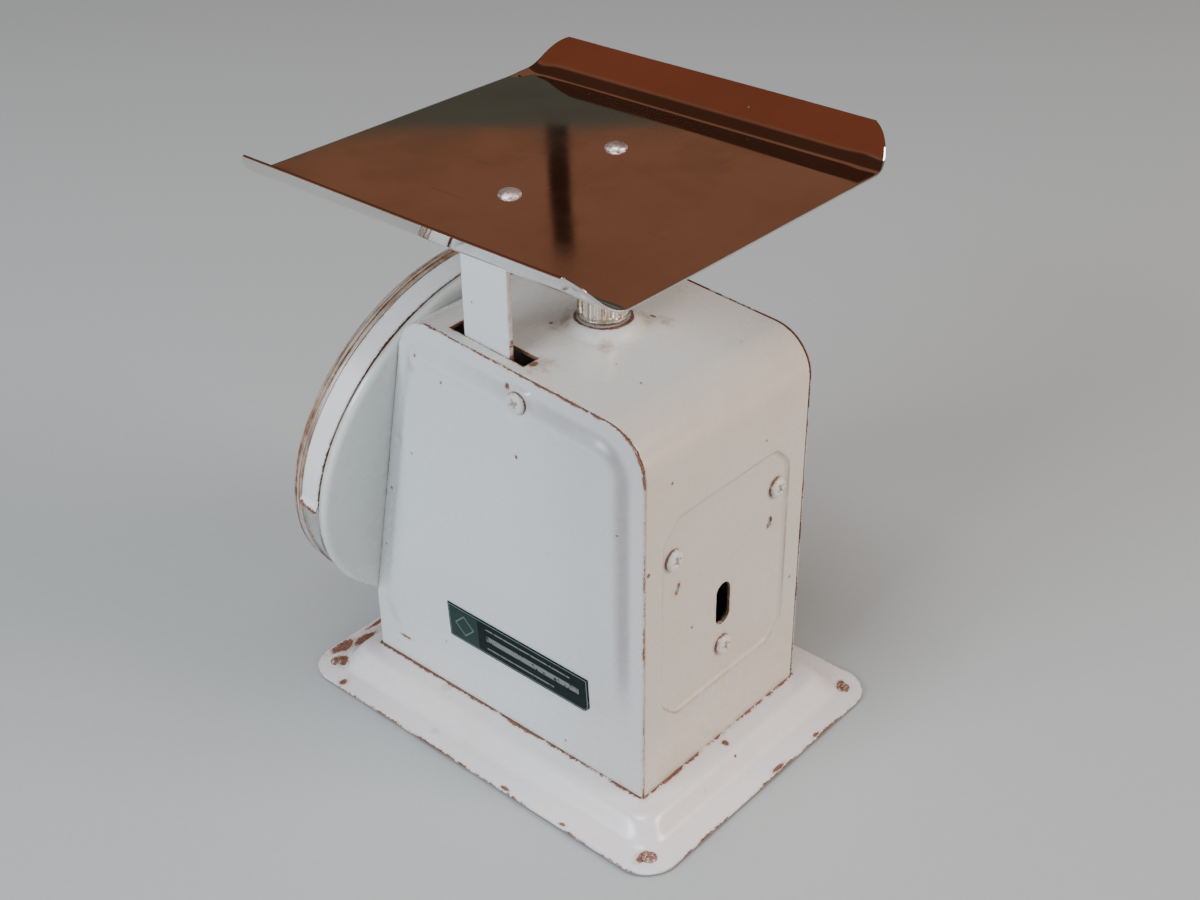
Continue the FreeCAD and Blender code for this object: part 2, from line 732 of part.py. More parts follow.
def make_label_plate():
    """A thin metal label on the raised field of the right cover."""
    body = make_body("label_plate")
    face = size["wrap_width"] / 2 + size["cover_gap"] + size["cover_skin"] + size["emboss_rise"]
    sine, cosine = math.sin(LABEL_TURN), math.cos(LABEL_TURN)
    corners = []
    for side_y, side_z in ((-1, -1), (1, -1), (1, 1), (-1, 1)):
        across, up = side_y * LABEL_HALF_WIDTH, side_z * LABEL_HALF_HEIGHT
        y, z = LABEL_BACK + across * cosine + up * sine, LABEL_UP - across * sine + up * cosine
        corners.append((y, z, 0.8))
    add(body, "YZ", face, face + LABEL_SKIN, rounded(corners))
    keep("label_plate", body)


# ---------------------------------------------------------------- inner frame

FRAME_FACE = size["case_back"] - size["recess_depth"] - size["skin"]
FRAME_SKIN = 2.0
EAR_INNER, EAR_OUTER, EAR_FRONT = 31.0, 33.0, 39.0
PLATE_LOW, EAR_LOW, PLATE_HIGH, NECK_HIGH = 44.0, 49.0, 119.0, 140.0
BRACKET_HALF = 14.0
BRACKET_LOW, BRACKET_FRONT = 118.0, -3.0
BRACKET_RIVETS, BRACKET_RIVET_HEIGHT = (-8.0, 8.0), 128.0
SHELF_LOW, SHELF_HIGH = 139.0, 141.0


def make_main_frame():
    """The back plate that the case is screwed to, with two ears for the stay pivots."""
    body = make_body("main_frame")
    inner = FRAME_FACE - FRAME_SKIN
    add(body, "XZ", inner, FRAME_FACE, rounded([
        (-EAR_OUTER, PLATE_LOW, 2), (EAR_OUTER, PLATE_LOW, 2), (EAR_OUTER, PLATE_HIGH, 2),
        (BRACKET_HALF, PLATE_HIGH, 2), (BRACKET_HALF, NECK_HIGH, 2), (-BRACKET_HALF, NECK_HIGH, 2),
        (-BRACKET_HALF, PLATE_HIGH, 2), (-EAR_OUTER, PLATE_HIGH, 2)]))
    for low in (EAR_INNER, -EAR_OUTER):
        add(body, "YZ", low, low + EAR_OUTER - EAR_INNER, rounded([
            (EAR_FRONT, EAR_LOW, 5), (inner + 0.5, EAR_LOW, 0), (inner + 0.5, PLATE_HIGH, 0),
            (EAR_FRONT, PLATE_HIGH, 5)]))
    add(body, "XZ", FRAME_FACE - 0.5, FRAME_FACE + 0.9, *[
        rectangle(f"{side} * Sheet.slit_spread - 1.2", "Sheet.slit_centre - 2.1", 2.4, 4.2)
        for side in (-1, 1)])
    cut(body, "XZ", inner, FRAME_FACE,
        obround((0, size["access_centre"]), size["access_height"] + 4, size["access_width"] + 4),
        *[circle(x, z, LARGE_SHANK + RUNNING) for x, z in back_screw_places()],
        *[circle(x, BRACKET_RIVET_HEIGHT, LARGE_SHANK + CLEAR) for x in BRACKET_RIVETS])
    cut(body, "YZ", -40, 40,
        circle("Sheet.stay_pivot_back", "Sheet.upper_pivot_height", f"Sheet.pin_radius + {RUNNING}"),
        circle("Sheet.stay_pivot_back", "Sheet.lower_pivot_height", f"Sheet.pin_radius + {RUNNING}"))
    keep("main_frame", body)


def make_top_bracket():
    """An angle riveted to the frame that carries the zero adjuster and guides the spring hanger."""
    body = make_body("top_bracket")
    front = FRAME_FACE - FRAME_SKIN
    add(body, "YZ", -BRACKET_HALF, BRACKET_HALF, rounded([
        (BRACKET_FRONT, BRACKET_LOW, 0.5), (BRACKET_FRONT + FRAME_SKIN, BRACKET_LOW, 0.5),
        (BRACKET_FRONT + FRAME_SKIN, SHELF_LOW, 0.5), (front - FRAME_SKIN, SHELF_LOW, 0.5),
        (front - FRAME_SKIN, PLATE_HIGH, 0.5), (front, PLATE_HIGH, 0), (front, SHELF_HIGH, 2.5),
        (BRACKET_FRONT, SHELF_HIGH, 2.5)]))
    cut(body, "XY", SHELF_LOW, SHELF_HIGH, circle(0, "Sheet.knob_back", "Sheet.screw_radius + 0.08"))
    cut(body, "XZ", front - FRAME_SKIN, front,
        *[circle(x, BRACKET_RIVET_HEIGHT, LARGE_SHANK + CLEAR) for x in BRACKET_RIVETS])
    keep("top_bracket", body)
    rivets = [rivet((x, front - FRAME_SKIN, BRACKET_RIVET_HEIGHT), (0, -1, 0), 3.5, 1.4, LARGE_SHANK,
                    2 * FRAME_SKIN, 3.2, 0.8) for x in BRACKET_RIVETS]
    group("bracket_rivets", rivets)


def make_pivots():
    """The two rods through the frame's ears, with a clip at each end."""
    half, clip_radius, clip_skin, clip_at = 37.2, 3.6, 0.6, 36.1
    rods = []
    clips = []
    for height in ("upper_pivot_height", "lower_pivot_height"):
        z = size[height]
        back = size["stay_pivot_back"]
        rods.append(rod("Sheet.pin_radius", 2 * half, aim((-half, back, z), (1, 0, 0))))
        for side in (-1, 1):
            clips.append(ring(clip_radius, size["pin_radius"] + SNUG, clip_skin, (side * clip_at, back, z),
                              (side, 0, 0)))
    group("pivot_rods", rods)
    group("rod_clips", clips)


# ---------------------------------------------------------------- zero adjuster

FLUTE_RADIUS, FLUTE_OFFSET, FLUTE_START = 1.15, 0.55, 1.2
KNOB_CAP, KNOB_ROUNDING = 3.0, 0.8
SCREW_LOW, SCREW_HIGH, SCREW_COLLAR, SCREW_COLLAR_SKIN = 118.0, 180.3, 5.0, 1.6
SCREW_CLIP_SKIN = 1.0


def make_adjuster():
    """The fluted knob, its screw with a collar on the shelf, and the clip under the shelf."""
    body = make_body("adjust_knob")
    top = "Sheet.knob_foot + Sheet.knob_height"
    add(body, "XY", "Sheet.knob_foot", top, circle(0, 0, "Sheet.knob_radius"))
    cut(body, "XY", "Sheet.knob_foot", f"{top} - {KNOB_CAP}", circle(0, 0, f"Sheet.screw_radius + {SNUG}"))
    flute = cut(body, "XY", f"Sheet.knob_foot + {FLUTE_START}", top,
                circle(f"Sheet.knob_radius + {FLUTE_OFFSET}", 0, FLUTE_RADIUS))
    pattern = body.newObject("PartDesign::PolarPattern", "flute_pattern")
    pattern.Originals = [flute]
    pattern.Axis = (next(f for f in body.Origin.OriginFeatures if f.Role == "Z_Axis"), [""])
    pattern.Angle = 360
    bind(pattern, Occurrences="Sheet.knob_flutes")
    body.Tip = pattern
    doc.recompute()
    plain = math.pi * size["knob_radius"] ** 2 * size["knob_height"]
    if body.Shape.Volume > plain * 0.97:
        raise RuntimeError("the knob has no flutes")
    round_edges(body, KNOB_ROUNDING, lambda edge: edge.Curve.TypeId == "Part::GeomCircle"
                and abs(edge.CenterOfMass.z - size["knob_foot"]) < 1e-4
                and edge.Curve.Radius > 8)
    body.Placement = Placement(Vector(0, size["knob_back"], 0), Rotation())
    keep("adjust_knob", body)
    back = size["knob_back"]
    collar_base = (0, back, SHELF_HIGH + CLEAR)
    shaft = fuse(rod("Sheet.screw_radius", SCREW_HIGH - SCREW_LOW, aim((0, back, SCREW_LOW), (0, 0, 1))),
                 rod(SCREW_COLLAR, SCREW_COLLAR_SKIN, aim(collar_base, (0, 0, 1))))
    keep("adjust_screw", shaft)
    clip_base = (0, back, SHELF_LOW - SCREW_CLIP_SKIN - CLEAR)
    keep("screw_clip", ring(SCREW_COLLAR, size["screw_radius"] + SNUG, SCREW_CLIP_SKIN, clip_base, (0, 0, 1)))


def plug_holes():
    """The two holes that the spring plugs are riveted into."""
    return [circle(f"{side} * Sheet.spring_spread", "Sheet.knob_back", SMALL_SHANK + RUNNING)
            for side in (-1, 1)]


def make_spring_hanger():
    """The plate that the screw raises and lowers, with a spring hanging from each end."""
    body = make_body("spring_hanger")
    top = "Sheet.hanger_low + Sheet.hanger_skin"
    add(body, "XY", "Sheet.hanger_low", top, rounded([
        (-22, -0.6, 2), (22, -0.6, 2), (22, 20, 4), (-22, 20, 4)]))
    cut(body, "XY", "Sheet.hanger_low", top,
        circle(0, "Sheet.knob_back", f"Sheet.screw_radius + {RUNNING}"), *plug_holes())
    keep("spring_hanger", body)


# ---------------------------------------------------------------- springs

PLUG_LENGTH, PLUG_FLANGE, PLUG_FLANGE_SKIN, PLUG_LAP = 8.0, 5.4, 1.5, 0.2
PLUG_HEAD, PLUG_HEAD_RISE, PLUG_HEAD_ROUNDING = 2.6, 1.0, 0.7


def make_springs():
    """Two extension springs, each screwed on to a plug at both ends."""
    inner = size["spring_radius"] - size["spring_wire"]
    for label, side in (("spring_left", -1), ("spring_right", 1)):
        coil = doc.addObject("Part::Helix", label + "_line")
        bind(coil, Radius="Sheet.spring_radius", Height="Sheet.spring_high - Sheet.spring_low",
             Pitch="(Sheet.spring_high - Sheet.spring_low) / Sheet.spring_turns")
        wire = doc.addObject("Part::Circle", label + "_section")
        bind(wire, Radius="Sheet.spring_wire")
        wire.Placement = Placement(Vector(size["spring_radius"], 0, 0),
                                   Rotation(Vector(0, 0, 1), Vector(0, 1, 0)))
        sweep = doc.addObject("Part::Sweep", label)
        sweep.Sections = [wire]
        sweep.Spine = (coil, ["Edge1"])
        sweep.Solid = True
        sweep.Frenet = True
        sweep.Placement = Placement(
            Vector(side * size["spring_spread"], size["knob_back"], size["spring_low"]), Rotation())
        keep(label, sweep)
    plug_radius = inner - CLEAR
    hanger_top = size["hanger_low"] + size["hanger_skin"]
    sides = (-size["spring_spread"], size["spring_spread"])
    group("upper_spring_plugs", [
        spring_plug(x, size["hanger_low"], hanger_top, -1, plug_radius) for x in sides])
    group("lower_spring_plugs", [
        spring_plug(x, YOKE_LOW + YOKE_SKIN, YOKE_LOW, 1, plug_radius) for x in sides])


def spring_plug(x, face, far_face, up, radius):
    """A plug that a spring is screwed on to. It stands on a plate's face, pointing up (1) or down (-1), and
    is riveted over on the plate's far face."""
    back = size["knob_back"]
    near = (0, 0, up)
    away = (0, 0, -up)
    flange_end = face + up * PLUG_FLANGE_SKIN
    return fuse(
        rod(radius, PLUG_LENGTH, aim((x, back, flange_end), near)),
        rod(PLUG_FLANGE, PLUG_FLANGE_SKIN, aim((x, back, face), near)),
        rod(SMALL_SHANK, abs(far_face - flange_end) + PLUG_LAP, aim((x, back, flange_end), away)),
        soft_rim(rod(PLUG_HEAD, PLUG_HEAD_RISE, aim((x, back, far_face), away)), PLUG_HEAD_ROUNDING, False))


# ---------------------------------------------------------------- carrier

YOKE_LOW, YOKE_SKIN = size["arm_low"], 2.0
YOKE_FRONT, YOKE_BACK, YOKE_EAR_SKIN, YOKE_EAR_HIGH = -14.0, 3.0, 1.6, 59.0
YOKE_RIVETS = [(-10.5, 55.5), (-0.5, 55.5)]
RACK_PIN, RACK_PIN_LENGTH = (7.0, 56.5), 14.0
RACK_EAR_FRONT, RACK_EAR_SKIN, RACK_EAR_HIGH = -45.0, 2.0, 61.5
TONGUE_LEFT, TONGUE_RIGHT = 1.0, 13.0


def make_spring_yoke():
    """The cross plate between the arms: springs pull up on it, and its tongue carries the rack pin."""
    body = make_body("spring_yoke")
    low, high = YOKE_LOW, YOKE_LOW + YOKE_SKIN
    arm_inner = size["arm_outer"] - size["arm_skin"]
    add(body, "XY", low, high, rounded([
        (-arm_inner, YOKE_FRONT, 2), (TONGUE_LEFT, YOKE_FRONT, 0), (TONGUE_LEFT, RACK_EAR_FRONT, 1),
        (TONGUE_RIGHT, RACK_EAR_FRONT, 1), (TONGUE_RIGHT, YOKE_FRONT, 0), (arm_inner, YOKE_FRONT, 2),
        (arm_inner, YOKE_BACK, 2), (22, 18, 4), (-22, 18, 4), (-arm_inner, YOKE_BACK, 2)]))
    for left in (-arm_inner, arm_inner - YOKE_EAR_SKIN):
        add(body, "YZ", left, left + YOKE_EAR_SKIN, rounded([
            (YOKE_FRONT, low, 0), (YOKE_BACK, low, 0), (YOKE_BACK, YOKE_EAR_HIGH, 3),
            (YOKE_FRONT, YOKE_EAR_HIGH, 3)]))
    ear_back = RACK_EAR_FRONT + RACK_EAR_SKIN
    add(body, "XZ", RACK_EAR_FRONT, ear_back, rounded([
        (TONGUE_LEFT, low, 0), (TONGUE_RIGHT, low, 0), (TONGUE_RIGHT, RACK_EAR_HIGH, 4),
        (TONGUE_LEFT, RACK_EAR_HIGH, 4)]))
    cut(body, "XY", low, high, *plug_holes())
    cut(body, "YZ", -40, 40, *yoke_rivet_holes())
    cut(body, "XZ", RACK_EAR_FRONT, ear_back, circle(*RACK_PIN, SMALL_SHANK + RUNNING))
    keep("spring_yoke", body)
    rivets = []
    for side in (-1, 1):
        for y, z in YOKE_RIVETS:
            rivets.append(rivet((side * size["arm_outer"], y, z), (side, 0, 0),
                                2.6, 0.9, SMALL_SHANK, size["arm_skin"] + YOKE_EAR_SKIN, 2.6, 0.8))
    group("yoke_rivets", rivets)
    across, up = RACK_PIN
    pin = fuse(rod(SMALL_SHANK, RACK_PIN_LENGTH, aim((across, ear_back, up), (0, -1, 0))),
               soft_rim(rod(2.5, 0.9, aim((across, ear_back, up), (0, 1, 0))), 0.6, False),
               rod(2.4, 0.8, aim((across, ear_back - RACK_PIN_LENGTH, up), (0, -1, 0))))
    keep("rack_pin", pin)


def yoke_rivet_holes():
    return [circle(y, z, SMALL_SHANK + RUNNING) for y, z in YOKE_RIVETS]


def make_tray_bracket():
    """A flat strap bent into an arch: two arms down through the case top, joined under the tray."""
    body = make_body("tray_bracket")
    outer, thick = size["arm_outer"], size["arm_skin"]
    top = size["tray_top"] - size["tray_skin"]
    low = size["arm_low"]
    bend = 4.0
    add(body, "XZ", "-Sheet.arm_front", "Sheet.arm_back", rounded([
        (-outer, low, 0), (-outer + thick, low, 0), (-outer + thick, top - thick, bend - thick),
        (outer - thick, top - thick, bend - thick), (outer - thick, low, 0), (outer, low, 0),
        (outer, top, bend), (-outer, top, bend)]))
    cut(body, "XY", top - thick - 1, top + 1, *tray_rivet_holes())
    radius = size["pin_radius"] + RUNNING
    pins = [circle("-Sheet.stay_pin_front", size[name] + size["stay_rise"], radius)
            for name in ("upper_pivot_height", "lower_pivot_height")]
    cut(body, "YZ", -45, 45, *pins)
    cut(body, "YZ", -45, 45, *yoke_rivet_holes())
    keep("tray_bracket", body)


def tray_rivet_holes():
    return [circle(f"{side} * Sheet.tray_rivet_spread", "-Sheet.tray_rivet_front", LARGE_SHANK + CLEAR)
            for side in (-1, 1)]


def make_stay_pins():
    """The four pins through the arms that carry the stays' front ends, with a clip on each."""
    pins = []
    clips = []
    outer, pin_end, clip_at = size["arm_outer"], 32.6, 33.4
    for side in (-1, 1):
        for name in ("upper_pivot_height", "lower_pivot_height"):
            y, z = -size["stay_pin_front"], size[name] + size["stay_rise"]
            head = soft_rim(rod(3.4, 1.2, aim((side * outer, y, z), (side, 0, 0))), 0.9, False)
            shank = rod("Sheet.pin_radius", outer - pin_end, aim((side * pin_end, y, z), (side, 0, 0)))
            pins.append(fuse(head, shank))
            clips.append(ring(3.6, size["pin_radius"] + SNUG, 0.6, (side * clip_at, y, z), (side, 0, 0)))
    group("stay_pins", pins)
    group("pin_clips", clips)


def make_tray():
    """A polished sheet, flat in the middle, with both side edges curled up and rounded corners."""
    body = make_body("tray")
    thick, bend, angle = size["tray_skin"], size["lip_bend"], math.radians(size["lip_angle"])
    top, flat, half = size["tray_top"], size["tray_flat"] / 2, size["tray_width"] / 2
    sine, cosine = math.sin(angle), math.cos(angle)
    bend_top = Vector(flat + bend * sine, top + bend * (1 - cosine), 0)
    straight = (half - bend_top.x - thick * sine) / cosine
    lip_top = bend_top + Vector(cosine, sine, 0) * straight
    across = Vector(sine, -cosine, 0) * thick
    half_angle = angle / 2
    bend_middle = Vector(flat + bend * math.sin(half_angle), top + bend * (1 - math.cos(half_angle)), 0)
    middle_across = Vector(math.sin(half_angle), -math.cos(half_angle), 0) * thick

    def mirrored(point):
        return Vector(-point.x, point.y, 0)

    upper_flat, lower_flat = Vector(flat, top, 0), Vector(flat, top - thick, 0)
    right = [
        Part.Arc(lower_flat, bend_middle + middle_across, bend_top + across),
        Part.LineSegment(bend_top + across, lip_top + across),
        Part.LineSegment(lip_top + across, lip_top),
        Part.LineSegment(lip_top, bend_top),
        Part.Arc(bend_top, bend_middle, upper_flat),
    ]
    left = [
        Part.Arc(mirrored(upper_flat), mirrored(bend_middle), mirrored(bend_top)),
        Part.LineSegment(mirrored(bend_top), mirrored(lip_top)),
        Part.LineSegment(mirrored(lip_top), mirrored(lip_top + across)),
        Part.LineSegment(mirrored(lip_top + across), mirrored(bend_top + across)),
        Part.Arc(mirrored(bend_top + across), mirrored(bend_middle + middle_across), mirrored(lower_flat)),
    ]
    pieces = right + [Part.LineSegment(upper_flat, mirrored(upper_flat))]
    pieces += left + [Part.LineSegment(mirrored(lower_flat), lower_flat)]
    add(body, "XZ", "-Sheet.tray_front", "Sheet.tray_back", outline(pieces))
    depth = size["tray_front"] + size["tray_back"]
    middle = (size["tray_back"] - size["tray_front"]) / 2
    corner = size["lip_corner"]
    for side_x in (-1, 1):
        for side_y in (-1, 1):
            tip = Vector(side_x * half, middle + side_y * depth / 2, 0)
            in_x, in_y = Vector(-side_x, 0, 0), Vector(0, -side_y, 0)
            centre = tip + (in_x + in_y) * corner
            bow = centre - (in_x + in_y).normalize() * corner
            beyond = tip - in_x * 5 - in_y * 5
            start, end = tip + in_x * corner, tip + in_y * corner
            cut(body, "XY", top - 10, top + 30, outline([
                Part.Arc(start, bow, end),
                Part.LineSegment(end, end - in_x * 5),
                Part.LineSegment(end - in_x * 5, beyond),
                Part.LineSegment(beyond, start - in_y * 5),
                Part.LineSegment(start - in_y * 5, start),
            ]))
    cut(body, "XY", top - 2, top + 1, *tray_rivet_holes())
    keep("tray", body)
    grip = thick + size["arm_skin"]
    rivets = [rivet((side * size["tray_rivet_spread"], -size["tray_rivet_front"], top), (0, 0, 1),
                    3.9, 1.7, LARGE_SHANK, grip, 3.2, 1.2) for side in (-1, 1)]
    group("tray_rivets", rivets)


# ---------------------------------------------------------------- parallel stays

STAY_WEB_FRONT, STAY_WEB_WIDTH = -24.0, 10.0
# how much longer and wider than its pin the slot at a stay's moving end is
STAY_SLOT_LENGTH, STAY_SLOT_WIDTH = 1.1, 0.3


def make_stay(label, pivot_height):
    """A bridge-shaped lever: two side arms joined by a web, pivoted on a rod at the back."""
    body = make_body(label)
    back, z = size["stay_pivot_back"], size[pivot_height]
    reach = back + size["stay_pin_front"]
    lean = math.atan2(size["stay_rise"], reach)
    rest_length = math.hypot(reach, size["stay_rise"])
    slot_middle = (rest_length + reach) / 2
    half, thick = size["stay_half_width"], size["stay_skin"]
    inner, outer = size["stay_inner"], size["stay_inner"] + size["stay_skin"]
    end_radius = half - 0.01
    arm = rounded([
        (-rest_length - half, -half, end_radius), (half, -half, end_radius),
        (half, half, end_radius), (-rest_length - half, half, end_radius)])
    for low in (inner, -outer):
        add(body, "YZ", low, low + thick, arm)
    add(body, "XY", half - thick, half, rectangle(-outer, STAY_WEB_FRONT, 2 * outer, STAY_WEB_WIDTH))
    cut(body, "YZ", -40, 40, circle(0, 0, f"Sheet.pin_radius + {RUNNING}"))
    cut(body, "YZ", -40, 40, obround((-slot_middle, 0), 2 * size["pin_radius"] + STAY_SLOT_LENGTH,
                                     2 * size["pin_radius"] + STAY_SLOT_WIDTH, upright=False))
    body.Placement = Placement(Vector(0, back, z), Rotation(Vector(1, 0, 0), -math.degrees(lean)))
    keep(label, body)


# ---------------------------------------------------------------- rack, pinion and pointer

# tooth heights in modules; the rack's pitch line is a little out from the pinion's
PINION_ADDENDUM, PINION_DEDENDUM, RACK_ADDENDUM, RACK_DEDENDUM = 0.8, 1.0, 0.65, 1.1
MESH_GAP = 0.03
TEETH_BELOW = 2
RACK_BACK, RACK_NECK, RACK_END, RACK_FOOT_HALF = 9.0, 5.2, 1.5, 5.0
RACK_SLOT_RADIUS, RACK_SLOT_EXTRA = 1.6, 0.5


def pinion_outline():
    """Involute teeth with a gap centred on +X."""
    teeth, module = int(size["pinion_teeth"]), size["gear_module"]
    pitch = teeth * module / 2
    base = pitch * math.cos(PRESSURE_ANGLE)
    tip, root = pitch + PINION_ADDENDUM * module, pitch - PINION_DEDENDUM * module
    half_tooth = (math.pi * module - BACKLASH) / 2 / (2 * pitch)
    pitch_spread = math.tan(PRESSURE_ANGLE) - PRESSURE_ANGLE

    def flank(radius, centre, side):
        pressure = math.acos(min(base / radius, 1.0))
        spread = half_tooth + pitch_spread - (math.tan(pressure) - pressure)
        angle = centre + side * spread
        return Vector(radius * math.cos(angle), radius * math.sin(angle), 0)

    def at(radius, like):
        return Vector(like.x, like.y, 0).normalize() * radius

    pieces = []
    step = 2 * math.pi / teeth
    middle_radius = (base + tip) / 2
    for tooth in range(teeth):
        centre = (tooth + 0.5) * step
        low_start, low_end = flank(base, centre, -1), flank(base, centre, 1)
        tip_start, tip_end = flank(tip, centre, -1), flank(tip, centre, 1)
        next_root = at(root, flank(base, centre + step, -1))
        crown = Vector(tip * math.cos(centre), tip * math.sin(centre), 0)
        valley_angle = centre + step / 2
        valley = Vector(root * math.cos(valley_angle), root * math.sin(valley_angle), 0)
        pieces.append(Part.LineSegment(at(root, low_start), low_start))
        pieces.append(Part.Arc(low_start, flank(middle_radius, centre, -1), tip_start))
        pieces.append(Part.Arc(tip_start, crown, tip_end))
        pieces.append(Part.Arc(tip_end, flank(middle_radius, centre, 1), low_end))
        pieces.append(Part.LineSegment(low_end, at(root, low_end)))
        pieces.append(Part.Arc(at(root, low_end), valley, next_root))
    return outline(pieces)


def rack_corners():
    """The rack in the dial plane: teeth on its left edge, one of them centred on the shaft's height."""
    module, count = size["gear_module"], int(size["rack_teeth"])
    pitch_line = size["pinion_teeth"] * module / 2 + MESH_GAP
    tooth_pitch = math.pi * module
    half_tooth = (tooth_pitch - BACKLASH) / 4 - BACKLASH / 8
    slope = math.tan(PRESSURE_ANGLE)
    tip, root = RACK_ADDENDUM * module, RACK_DEDENDUM * module
    left_root = pitch_line + root
    corners = []
    for tooth in range(-TEETH_BELOW, count - TEETH_BELOW):
        middle = tooth * tooth_pitch
        corners += [
            (left_root, middle - half_tooth - root * slope, 0),
            (pitch_line - tip, middle - half_tooth + tip * slope, 0),
            (pitch_line - tip, middle + half_tooth - tip * slope, 0),
            (left_root, middle + half_tooth + root * slope, 0),
        ]
    bottom, top = corners[0][1] - RACK_END, corners[-1][1] + RACK_END
    foot_low, foot_high = RACK_FOOT_UP - RACK_FOOT_HALF, RACK_FOOT_UP + RACK_FOOT_HALF
    foot_left, foot_right = RACK_PIN[0] - 4.0, RACK_PIN[0] + 4.0
    return [
        (foot_left, foot_low, 2.5), (foot_right, foot_low, 2.5), (foot_right, foot_high, 1.5),
        (RACK_BACK, foot_high + 2, 0), (RACK_BACK, top, 1.0), (left_root, top, 0.5),
    ] + corners[::-1] + [
        (left_root, bottom, 0), (RACK_NECK, bottom - 2, 0), (RACK_NECK, foot_high + 2, 0),
        (foot_left, foot_high, 1.0),
    ]


# the rack pin's place up the dial plane
RACK_FOOT_UP = (RACK_PIN[1] - size["dial_height"] + size["gear_depth"] * math.sin(tilt)) / math.cos(tilt)


def make_rack():
    """The toothed bar, with a slot in its foot for the rack pin."""
    body = make_body("rack")
    rear, front = "-Sheet.gear_depth - Sheet.rack_skin / 2", "-Sheet.gear_depth + Sheet.rack_skin / 2"
    add(body, "XY", rear, front, rounded(rack_corners()))
    cut(body, "XY", rear, front,
        obround((RACK_PIN[0], RACK_FOOT_UP), 2 * RACK_SLOT_RADIUS + RACK_SLOT_EXTRA, 2 * RACK_SLOT_RADIUS))
    body.Placement = dial_place
    keep("rack", body)


REAR_BUSH_RADIUS = 3.0
SHAFT_REAR, SHAFT_LENGTH = -25.6, 37.0


def make_shaft_bracket():
    """A channel on the inside of the case front with the pointer shaft's rear bearing."""
    body = make_body("shaft_bracket")
    inner_face = -size["skin"]
    foot_half, foot_reach, web_outer, web_half = 11.0, 25.0, 14.0, 7.0
    thick, overlap, floor = 1.5, 0.5, -24.0
    web_inner = web_outer - thick
    foot_rear = inner_face - 2
    left_foot = [(-foot_reach, -foot_half, 2), (-web_outer + overlap, -foot_half, 0),
                 (-web_outer + overlap, foot_half, 0), (-foot_reach, foot_half, 2)]
    right_foot = [(-x, v, corner) for x, v, corner in reversed(left_foot)]
    add(body, "XY", foot_rear, inner_face, rounded(left_foot), rounded(right_foot))
    for left in (-web_outer, web_inner):
        add(body, "YZ", left, left + thick, rounded([
            (-foot_half, foot_rear, 0), (foot_half, foot_rear, 0), (foot_half, inner_face, 0),
            (-foot_half, inner_face, 0)]))
        add(body, "YZ", left, left + thick, rounded([
            (-foot_half, inner_face - 1, 0), (-web_half, floor, 1), (web_half, floor, 1),
            (foot_half, inner_face - 1, 0)]))
    add(body, "XY", floor, floor + thick, rounded_rectangle(2 * web_outer, 2 * web_half, 1.5))
    cut(body, "XY", floor - 1, floor + 2, circle(0, 0, REAR_BUSH_RADIUS + RUNNING))
    cut(body, "XY", foot_rear, inner_face, *[
        circle(x, v, SMALL_SHANK + RUNNING) for x, v in PAN_SCREWS])
    body.Placement = dial_place
    keep("shaft_bracket", body)


def dial_ring(label, outer, inner, low, high):
    tube = ring(outer, inner, high - low, (0, 0, 0), (0, 0, 1))
    tube.Placement = dial_place.multiply(Placement(Vector(0, 0, low), Rotation()))
    return keep(label, tube)


def make_shaft():
    """The pointer shaft, its two bushes and its pinion."""
    bore = f"Sheet.shaft_radius + {RUNNING}"
    dial_ring("front_bush", SHAFT_BUSH_RADIUS, bore, -3.6, 2.4)
    dial_ring("rear_bush", REAR_BUSH_RADIUS, bore, -25.2, -21.4)
    rear_end = dial_place.multiply(Placement(Vector(0, 0, SHAFT_REAR), Rotation()))
    keep("pointer_shaft", rod("Sheet.shaft_radius", SHAFT_LENGTH, rear_end))
    pinion = make_body("pinion")
    low, high = "-Sheet.gear_depth - 2", "-Sheet.gear_depth + 2"
    add(pinion, "XY", low, high, pinion_outline())
    cut(pinion, "XY", low, high, circle(0, 0, f"Sheet.shaft_radius + {PRESSED}"))
    pinion.Placement = dial_place
    keep("pinion", pinion)


POINTER_LOW, POINTER_SKIN, POINTER_REACH, POINTER_TAIL, POINTER_EYE = 9.0, 0.8, 62.0, 24.0, 5.0
HUB_RADIUS, HUB_CROWN, HUB_HEIGHT = 4.2, 3.2, 2.6


def make_pointer():
    """The pointer with its tail, and the hub that holds it on the shaft's end."""
    body = make_body("pointer")
    high = POINTER_LOW + POINTER_SKIN
    add(body, "XY", POINTER_LOW, high, rounded([
        (-4.0, -POINTER_TAIL, 1.5), (4.0, -POINTER_TAIL, 1.5), (1.6, -6, 0), (0.35, POINTER_REACH, 0.2),
        (-0.35, POINTER_REACH, 0.2), (-1.6, -6, 0)]))
    add(body, "XY", POINTER_LOW, high, circle(0, 0, POINTER_EYE))
    cut(body, "XY", POINTER_LOW, high, circle(0, 0, f"Sheet.shaft_radius + {PRESSED}"))
    body.Placement = dial_place
    keep("pointer", body)
    bore, crown = size["shaft_radius"] + PRESSED, high + HUB_HEIGHT
    shaft_end = SHAFT_REAR + SHAFT_LENGTH + CLEAR
    hub = turned("pointer_hub", [
        (bore, high, 0), (HUB_RADIUS, high, 0.3), (HUB_RADIUS, crown - 1.2, 0.8), (HUB_CROWN, crown, 0.8),
        (0, crown, 0), (0, shaft_end, 0), (bore, shaft_end, 0)])
    hub.Placement = dial_place
    keep("pointer_hub", hub)


# ---------------------------------------------------------------- dial drum

SPACERS = [(x, v) for x in (-38.0, 38.0) for v in (-38.0, 38.0)]
SPACER_RADIUS, SPACER_BORE = 3.0, 1.3
PAN_CORNER, PAN_WALL_HEIGHT, PAN_STEP, PAN_STEP_HEIGHT = 3.2, 3.7, 2.2, 5.4
DIAL_SKIN = 0.6


